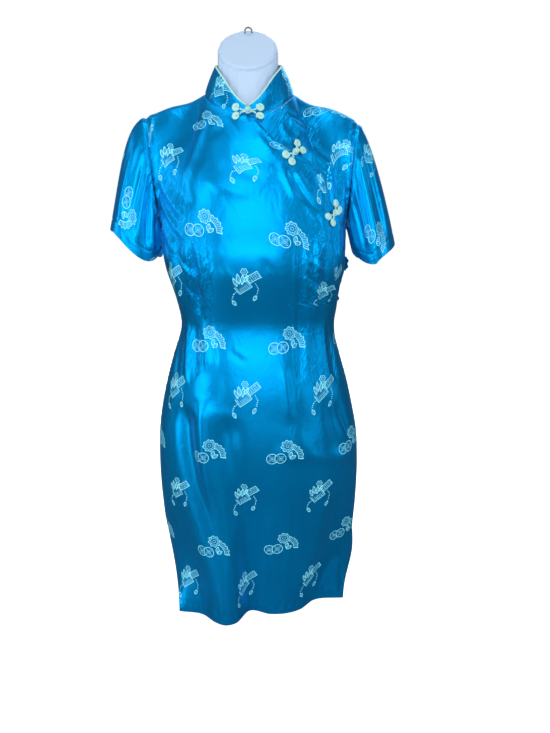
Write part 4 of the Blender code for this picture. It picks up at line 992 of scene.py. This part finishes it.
def most(first, *others):
    """Largest of the fields: a line, kept within areas whose distance is below 0."""
    for other in others:
        first = first.math("MAXIMUM", other)
    return first


def mixed(share, first, second):
    """Colour between two."""
    return node(share.tree, "ShaderNodeMix", share, *[None] * 5, first, second, out=2,
                data_type="RGBA")


def turned(p, centre, degrees):
    """p's two coordinates in a frame turned about a centre."""
    cos, sin = math.cos(math.radians(degrees)), math.sin(math.radians(degrees))
    away = p.vector("SUBTRACT", (*centre, 0))
    return [away.vector("DOT_PRODUCT", axis, out=1) for axis in ((cos, sin, 0), (-sin, cos, 0))]


def polar(p, centre, degrees=0):
    """Distance of p from a centre and its angle round it."""
    x, y = turned(p, centre, degrees)
    return p.vector("DISTANCE", (*centre, 0), out=1), y.math("ARCTAN2", x)


def oblong(x, y, half_x, half_y):
    """Signed distance, roughly, from the outline of an oblong."""
    return most(abs(x) - half_x, abs(y) - half_y)


def leaf(p, marks, details, centre, degrees, length, width):
    """Adds a pointed leaf with a vein, and returns the signed distance from its outline, which is
    two arcs that meet at its ends."""
    x, y = turned(p, centre, degrees)
    bend = (length * length - width * width) / (2 * width)
    away = node(p.tree, "ShaderNodeCombineXYZ", x, abs(y) + bend)
    edge = away.vector("LENGTH", out=1) - (bend + width)
    marks.append(abs(edge))
    details.append(most(edge, abs(y)))
    return edge


def beads(p, a, b):
    """Distance to a string of beads from a to b: a line that swells at even steps."""
    length = math.dist(a, b)
    way = ((b[0] - a[0]) / length, (b[1] - a[1]) / length, 0)
    away = p.vector("SUBTRACT", (*a, 0))
    along = away.vector("DOT_PRODUCT", way, out=1)
    nearest = node(p.tree, "ShaderNodeVectorMath", way, None, None,
                   node(p.tree, "ShaderNodeClamp", along, 0.0, length), operation="SCALE")
    string = away.vector("DISTANCE", nearest, out=1) + 0.35
    return along.wave("COSINE", 2 * math.pi / BEAD_STEP).scaled(-0.75, string)


def inked(marks, details, area):
    """Share of the figure's colour: outlines, thinner details and a faint tone within."""
    def ink(distance, width):
        return (width - distance).math("DIVIDE", LINE_SOFTNESS).math("ADD", 0.5, clamp=True)

    return most(ink(least(*marks), LINE_WIDTH), ink(least(*details), DETAIL_WIDTH),
                ink(area, 0.0) * FILL_TONE)


def treasure_motif(p):
    """Open frame with a meander block, leaves, a rosette and two beaded tassels."""
    x, y = turned(p, (-5.5, -4.0), 37)
    rim, open_top = oblong(x, y, 12.4, 9.6), y - 4.5
    marks = [most(abs(rim), open_top)]
    details = [most(abs(oblong(x, y, 10.0, 7.2)), open_top),
               most(x.bars(2.6), oblong(*turned(p, (-3.5, -6.8), 37), 8.0, 2.2))]
    x, y = turned(p, (12.5, 13.0), 37)
    block = oblong(x, y, 11.2, 5.6)
    meander = abs(x.wave("SINE", math.pi / 3.6).math("SIGN").scaled(3.0, y))
    marks.append(abs(block))
    details += [most(x.bars(3.6), block + 2.2), most(meander, block)]
    for place in LEAVES:
        leaf(p, marks, details, *place)
    away, angle = polar(p, (-2.0, 20.5))
    marks.append(abs(angle.wave("COSINE", 6.0).scaled(-0.7, away) - 5.0))
    details.append(abs(away - 2.0))
    for path in TASSELS:
        marks += [beads(p, a, b) for a, b in zip(path, path[1:-1])]
        (x0, y0), (x1, y1) = path[-2:]
        leaf(p, marks, details, path[-1], math.degrees(math.atan2(y1 - y0, x1 - x0)), 5.2, 2.6)
    return inked(marks, details, least(block, rim))


def coin_motif(p):
    """A pair of coins, a flower head with rayed petals, a serrated leaf and two buds."""
    marks, details, behind = [], [], None
    for centre in ((-7.5, -11.5), (-22.0, -12.5)):
        away, angle = polar(p, centre, 40)
        x, y = turned(p, centre, 40)
        rim = away - COIN_RADIUS
        lobes = abs(angle.wave("COSINE", 4.0).scaled(-2.0, away) - 4.9)
        inside = least(lobes, most(least(abs(x), abs(y)), away - 4.2))
        marks.append(most(abs(rim), *(behind or ())))
        details.append(most(inside, *(behind or ())))
        behind = [0.0 - rim]
    away, angle = polar(p, (4.0, 11.5), 10)
    petals = angle.wave("COSINE", 8.0)
    rim = petals.scaled(-1.0, away) - 10.2
    rays = abs(angle.wave("SINE", 8.0)) * 0.14 * away
    marks.append(abs(rim))
    details += [abs(away - 2.6), abs(petals.scaled(0.7, away) - 6.4),
                most(rays, rim, 6.8 - away)]
    flower = 0.0 - rim
    away, angle = polar(p, (7.5, -9.5))
    outer = (angle * 6.0).math("PINGPONG", 1.0).scaled(-2.6, away) - 23.0
    inner = 21.0 - p.vector("DISTANCE", (3.0, -12.5, 0), out=1)
    crescent = most(outer, inner, (abs(angle - 0.62) - 0.80) * 14.0)
    barbs = abs(away.scaled(0.16, angle * (6.0 * math.pi)).math("SINE")) * 1.1
    marks.append(most(abs(crescent), flower))
    details.append(most(barbs, crescent + 1.0, flower))
    bud = [leaf(p, marks, details, *place) for place in BUDS][-1]
    return inked(marks, details, least(crescent, bud))


def motifs(cloth):
    """Both motifs on their half-drop lattice, from a place on the cloth."""
    place = cloth.vector("SCALE", None, None, 1000.0)
    half = (REPEAT[0] / 2, REPEAT[1] / 2, 1.0)
    low = (-half[0], -half[1], -1.0)
    return [most(*(motif(place.vector("SUBTRACT", (*middle, 0.0)).vector("WRAP", half, low))
                   for motif, middle in ((treasure_motif, TREASURE_MIDDLE),
                                         (coin_motif, COIN_MIDDLE))))]


def weave(cloth):
    """Fine threads along the cloth and the slight unevenness of silk."""
    threads = cloth.noise((5200.0, 420.0, 1.0), 1.0)
    wide = cloth.noise((34.0, 20.0, 1.0), 3.0, 0.55, 0.6)
    return (cloth.noise((30.0, 900.0, 1.0)).scaled(0.5, threads),
            cloth.noise((120.0, 70.0, 1.0), 3.0, 0.6, 0.8).scaled(0.08, wide),
            cloth.noise((9.0, 7.0, 1.0), 3.0))


def gathers(cloth):
    """Small crossing wrinkles of gathered satin."""
    first, second = (
        abs(node(cloth.tree, "ShaderNodeVectorRotate", cloth, None, (0, 0, 1), math.radians(turn))
            .noise(stretch, 2.0, 0.5, distortion) - 0.5)
        for turn, stretch, distortion in ((24, (110.0, 34.0, 1.0), 0.9),
                                          (-38, (160.0, 52.0, 1.0), 0.7)))
    return [second.scaled(0.9, first * 1.8)]


def grain(place, stretch):
    """Fine grain and wide changes of tone."""
    return place.noise(stretch), place.noise((9.0, 9.0, 9.0), 3.0)


def shared(tree, name, build, inputs, outputs):
    """Outputs of a node group, which is built when the first material uses it."""
    group = bpy.data.node_groups.get(name)
    if not group:
        group = bpy.data.node_groups.new(name, "ShaderNodeTree")
        for names, way, kind in ((inputs, "INPUT", "Vector"), (outputs, "OUTPUT", "Float")):
            for socket in names:
                group.interface.new_socket(socket, in_out=way, socket_type=f"NodeSocket{kind}")
        source, target = group.nodes.new("NodeGroupInput"), group.nodes.new("NodeGroupOutput")
        fields = build(*(Field(group, source.outputs[socket]) for socket in inputs))
        for socket, field in zip(outputs, fields):
            put(group, target.inputs[socket], field)
    made = tree.nodes.new("ShaderNodeGroup")
    made.node_tree = group
    for socket, value in inputs.items():
        put(tree, made.inputs[socket], value)
    return [Field(tree, made.outputs[socket]) for socket in outputs]


def rgba(colour, share=1.0):
    """A colour, darkened to a share of itself."""
    return (*[part * share for part in colour], 1.0)


def relief(height, distance, strength):
    """Normals of a surface that a height raises."""
    return node(height.tree, "ShaderNodeBump", strength, distance, None, height)


def material(name, build):
    """The named material. What build returns goes into its shader when it is first used."""
    made = bpy.data.materials.get(name)
    if not made:
        made = bpy.data.materials.new(name)
        made.use_nodes = True
        shader = made.node_tree.nodes["Principled BSDF"]
        for socket, value in build(made.node_tree).items():
            put(made.node_tree, shader.inputs[socket], value)
    return made


def satin(tree):
    """Glossy blue warp with pale matt figures that stand a little proud, and gathers where the
    cloth is puckered."""
    looks = dress()
    cloth = node(tree, "ShaderNodeUVMap", uv_map="cloth")
    motif, = shared(tree, "Brocade motifs", motifs, {"Cloth": cloth}, ["Motif"])
    threads, ripple, tone = shared(tree, "Satin weave", weave, {"Cloth": cloth},
                                   ["Threads", "Ripple", "Tone"])
    wrinkles, = shared(tree, "Gathers", gathers, {"Cloth": cloth}, ["Height"])
    pucker = node(tree, "ShaderNodeAttribute", attribute_name="pucker", out=2)
    ground = mixed(tone, rgba(looks.satin, 0.78), rgba(looks.satin))
    colour = mixed(motif * 0.84, ground, rgba(looks.figure))
    # Rays reflected off the satin see a lighter colour instead of its own: painted reflection where
    # satin is mirrored in satin, mostly in the folds.
    mirrored = node(tree, "ShaderNodeLightPath", out=3)
    height = motif.scaled(0.05, threads * 0.012) + ripple * 0.50
    height = (wrinkles * pucker).scaled(0.85, height)
    return {
        "Base Color": mixed(mirrored, colour, rgba(looks.painted_reflection)),
        "Roughness": motif.scaled(0.20, 0.36),
        "Metallic": motif.scaled(-0.84, 0.86),
        "Specular Tint": (0.03, 0.62, 0.96, 1.0),
        "Normal": relief(height, 0.0040, 0.55),
        "Sheen Weight": 0.08,
        "Sheen Roughness": 0.4,
        "Sheen Tint": (0.2, 0.7, 1.0, 1.0),
        "Anisotropic": 0.7,
        "Anisotropic Rotation": 0.25,
    }


def silk_cord(tree):
    """Twisted cord: strands that slant round it, from its own UV, and painted shade between them.
    """
    cloth = node(tree, "ShaderNodeUVMap", uv_map="cloth")
    turns, length = (node(tree, "ShaderNodeSeparateXYZ", cloth, out=axis) for axis in (0, 1))
    strand = abs(length.scaled(900.0, turns * 3.0).wave("SINE", math.pi))
    colour = dress().cord
    return {
        # The colour darkens towards the grooves between the strands: painted shade.
        "Base Color": mixed(strand.math("POWER", 0.5), rgba(colour, 0.62), rgba(colour)),
        "Roughness": strand.scaled(-0.12, 0.52),
        "Normal": relief(strand, 0.00018, 0.6),
        "Sheen Weight": 0.25,
    }


FINISHES = {"satin": ("Satin brocade", satin), "cord": ("Silk cord", silk_cord)}


def hard_material(name, colour, metallic, roughness, depth, stretch):
    """Plastic, lacquer or brushed steel: fine grain with slight changes of tone and gloss."""
    def hard(tree):
        place = node(tree, "ShaderNodeTexCoord", out=3)
        fine, wide = shared(tree, "Grain", grain, {"Place": place, "Stretch": stretch},
                            ["Fine", "Wide"])
        return {
            "Base Color": mixed(wide, rgba(colour, 0.94), rgba(colour)),
            "Roughness": fine.scaled(0.14, roughness - 0.07),
            "Metallic": metallic,
            "Normal": relief(fine, depth, 0.3),
        }

    return material(name, hard)


# Name, place, height that it faces on the middle line, size
LIGHTS = (
    ("key", (-0.1, -2.3, 1.4), 0.8, (1.9, 1.8)),
    ("top", (0.0, -0.4, 2.7), 1.0, (1.6, 1.0)),
    ("strip", (-1.45, -1.35, 0.75), 0.6, (0.75, 1.5)),
    ("fill", (1.35, -1.45, 0.75), 0.6, (0.6, 1.4)),
    ("left", (-2.2, -0.2, 1.3), 0.7, (0.8, 1.4)),
    ("right", (2.2, -0.4, 1.3), 0.7, (0.8, 1.4)),
    ("rear", (0.4, 2.1, 2.0), 0.7, (1.7, 1.4)),
)


def make_stage(stage):
    """Pale floor, soft lights, a bright room and the camera."""
    def paper(tree):
        """Pale paper that stays light to the eye and sends little light up into the satin."""
        place = node(tree, "ShaderNodeTexCoord", out=3)
        pale = mixed(place.noise((3.0, 3.0, 3.0)), rgba(stage.floor, 0.985), rgba(stage.floor))
        seen = node(tree, "ShaderNodeLightPath")
        light = most(seen, node(tree, "ShaderNodeLightPath", out=2))
        return {
            "Base Color": mixed(light, rgba(stage.floor, stage.bounce), pale),
            "Roughness": 0.9,
            "Specular IOR Level": 0.0,
            "Emission Color": pale,
            "Emission Strength": seen * stage.glow,
        }

    scene = bpy.context.scene
    half = stage.floor_size / 2
    mesh = bpy.data.meshes.new("stage_floor")
    corners = ((-half, -half), (half, -half), (half, half), (-half, half))
    mesh.from_pydata([(x, y, 0.0) for x, y in corners], [], [(0, 1, 2, 3)])
    mesh.materials.append(material("Pale paper", paper))
    placed("stage_floor", mesh)

    for name, place, aim, size in LIGHTS:
        lamp = bpy.data.lights.new(name, "AREA")
        lamp.shape = "RECTANGLE"
        lamp.size, lamp.size_y = size
        lamp.energy = getattr(stage, "sides" if name in ("left", "right") else name)
        made = placed(name, lamp)
        made.location = place
        way = Vector((0, 0, aim)) - Vector(place)
        made.rotation_euler = way.to_track_quat("-Z", "Y").to_euler()

    world = bpy.data.worlds.new("studio")
    world.use_nodes = True
    tree = world.node_tree
    tree.nodes.clear()
    lit = node(tree, "ShaderNodeBackground", (0.86, 0.94, 1.0, 1.0), stage.ambient)
    seen = node(tree, "ShaderNodeBackground", (1.0, 1.0, 1.0, 1.0))
    sky = node(tree, "ShaderNodeMixShader", node(tree, "ShaderNodeLightPath"), lit, seen)
    put(tree, tree.nodes.new("ShaderNodeOutputWorld").inputs[0], sky)
    scene.world = world
    scene.view_settings.view_transform = "Standard"

    lens = bpy.data.cameras.new("camera")
    lens.lens, lens.sensor_width, lens.clip_start = stage.lens, 36.0, 0.02
    scene.camera = placed("camera", lens)
    scene.camera.location = stage.camera
    scene.camera.rotation_euler = (math.pi / 2 - stage.pitch, 0.0, 0.0)


def colour(name, description, default):
    """A colour that the user may change."""
    return bpy.props.FloatVectorProperty(name=name, description=description, subtype="COLOR",
                                         size=3, min=0, max=1, default=default)


def number(name, description, default, largest, **kind):
    """A number that the user may change, with its unit or subtype."""
    kind = {"min": 0, **kind}
    return bpy.props.FloatProperty(name=name, description=description, default=default,
                                   max=largest, **kind)


def power(name, description, default):
    """A light's power, which the user may change."""
    return number(name, description, default, 500, unit="POWER")


class ClothSettings(bpy.types.PropertyGroup):
    """Colours and sizes of the dress."""

    satin: colour("Satin", "Colour of the ground weave", (0.0, 0.335, 0.80))
    figure: colour("Figures", "Colour of the woven motifs", (0.34, 0.95, 0.98))
    # Painted reflection: the lighter colour that the satin takes only in its reflections in itself,
    # mostly in the folds.
    painted_reflection: colour("Painted reflection in folds", "Colour of satin mirrored in satin", (0.20, 0.80, 0.97))
    cord: colour("Cord", "Colour of the frogs and the piping", (0.40, 0.74, 0.69))
    form: colour("Form", "Colour of the dress form", (0.41, 0.55, 0.74))
    thickness: number("Cloth thickness", "Satin with its lining", 0.0012, 0.0025, min=0.0004,
                      unit="LENGTH", precision=4)
    crease_depth: number("Crease depth", "How deep the fine creases are", 1.25, 2, subtype="FACTOR")


class StageSettings(bpy.types.PropertyGroup):
    """Floor, lights and camera."""

    floor: colour("Floor", "Colour of the floor and backdrop", (0.93, 0.93, 0.93))
    floor_size: number("Floor size", "Length of the floor's sides", 60, 200, min=4, unit="LENGTH")
    bounce: number("Bounce", "Share of the floor's tone that lights the dress", 0.14, 1,
                   subtype="FACTOR")
    glow: number("Glow", "Brightness added to the floor", 0.98, 2)
    key: power("Key light", "Power of the light above the front", 34)
    top: power("Top light", "Power of the light overhead", 16)
    strip: power("Strip light", "Power of the upright strip at the front left", 12)
    fill: power("Fill light", "Power of the upright panel at the front right", 4)
    sides: power("Side lights", "Power of each light beside the dress", 9)
    rear: power("Rear light", "Power of the light behind", 30)
    ambient: number("Ambient", "Brightness of the room", 0.19, 5)
    lens: number("Lens", "Focal length of the camera in millimetres", 27.5, 200, min=10)
    pitch: number("Pitch", "How far the camera looks down", math.radians(16), math.pi / 2,
                  subtype="ANGLE")
    camera: bpy.props.FloatVectorProperty(
        name="Camera", description="Place of the camera", default=(0.038, -1.0, 0.775),
        subtype="TRANSLATION")


def dress():
    """The scene's settings for the dress."""
    return bpy.context.scene.cheongsam_cloth


class MAKE_OT_front(bpy.types.Operator):
    """Makes the front with its crossed overlap"""

    bl_idname = "cheongsam.front"
    bl_label = "Front"

    def execute(self, context):
        make_front()
        return {"FINISHED"}


class MAKE_OT_yoke(bpy.types.Operator):
    """Makes the yoke under the overlap"""

    bl_idname = "cheongsam.yoke"
    bl_label = "Yoke"

    def execute(self, context):
        make_yoke()
        return {"FINISHED"}


class MAKE_OT_back(bpy.types.Operator):
    """Makes the back"""

    bl_idname = "cheongsam.back"
    bl_label = "Back"

    def execute(self, context):
        make_back()
        return {"FINISHED"}


class MAKE_OT_sleeves(bpy.types.Operator):
    """Makes both sleeves"""

    bl_idname = "cheongsam.sleeves"
    bl_label = "Sleeves"

    def execute(self, context):
        for name in SLEEVES:
            make_sleeve(name)
        return {"FINISHED"}


class MAKE_OT_collar(bpy.types.Operator):
    """Makes the stand collar and its piping"""

    bl_idname = "cheongsam.collar"
    bl_label = "Collar"

    def execute(self, context):
        make_collar()
        make_piping()
        return {"FINISHED"}


class MAKE_OT_tab(bpy.types.Operator):
    """Makes the loose end of the side placket"""

    bl_idname = "cheongsam.tab"
    bl_label = "Placket tab"

    def execute(self, context):
        make_tab()
        return {"FINISHED"}


class MAKE_OT_frogs(bpy.types.Operator):
    """Makes the three frogs, each a knot half and a loop half"""

    bl_idname = "cheongsam.frogs"
    bl_label = "Frogs"

    def execute(self, context):
        points = front_cloth()
        for name in FROGS:
            make_frog(name, points)
        return {"FINISHED"}


class MAKE_OT_form(bpy.types.Operator):
    """Finishes the dress form, its eye and its stand"""

    bl_idname = "cheongsam.form"
    bl_label = "Form and stand"

    def execute(self, context):
        plastic = hard_material("Moulded plastic", dress().form, 0.0, 0.42, 0.0001, (900.0,) * 3)
        steel = hard_material("Brushed steel", (0.30, 0.31, 0.33), 1.0, 0.34, 0.00006,
                              (60.0, 60.0, 2400.0))
        lacquer = hard_material("Lacquer", (0.80, 0.82, 0.85), 0.0, 0.30, 0.00005, (500.0,) * 3)
        for name, finish in (("dress_form", plastic), ("form_eye", steel), ("stand_pole", steel),
                             ("stand_base", lacquer)):
            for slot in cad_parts[name].material_slots:
                slot.material = finish
        return {"FINISHED"}


class MAKE_OT_stage(bpy.types.Operator):
    """Makes the floor, the lights and the camera"""

    bl_idname = "cheongsam.stage"
    bl_label = "Stage"

    def execute(self, context):
        make_stage(context.scene.cheongsam_stage)
        return {"FINISHED"}


OPERATORS = (MAKE_OT_stage, MAKE_OT_form, MAKE_OT_front, MAKE_OT_yoke, MAKE_OT_back,
             MAKE_OT_sleeves, MAKE_OT_collar, MAKE_OT_tab, MAKE_OT_frogs)


class VIEW3D_PT_cheongsam(bpy.types.Panel):
    """Settings of the dress and buttons that make its pieces"""

    bl_label = "Cheongsam"
    bl_space_type = "VIEW_3D"
    bl_region_type = "UI"
    bl_category = "Cheongsam"

    def draw(self, context):
        for settings in (context.scene.cheongsam_cloth, context.scene.cheongsam_stage):
            box = self.layout.box()
            for name in settings.__annotations__:
                box.prop(settings, name)
        for operator in OPERATORS:
            self.layout.operator(operator.bl_idname)


CLASSES = (ClothSettings, StageSettings, *OPERATORS, VIEW3D_PT_cheongsam)


def register():
    """Registers the classes and the scene's settings."""
    for kind in CLASSES:
        bpy.utils.register_class(kind)
    bpy.types.Scene.cheongsam_cloth = bpy.props.PointerProperty(type=ClothSettings)
    bpy.types.Scene.cheongsam_stage = bpy.props.PointerProperty(type=StageSettings)


def unregister():
    """Takes them away again."""
    del bpy.types.Scene.cheongsam_stage
    del bpy.types.Scene.cheongsam_cloth
    for kind in reversed(CLASSES):
        bpy.utils.unregister_class(kind)


def main():
    """Makes every piece."""
    register()
    for operator in OPERATORS:
        space, name = operator.bl_idname.split(".")
        getattr(getattr(bpy.ops, space), name)()


if __name__ == "__main__":
    main()
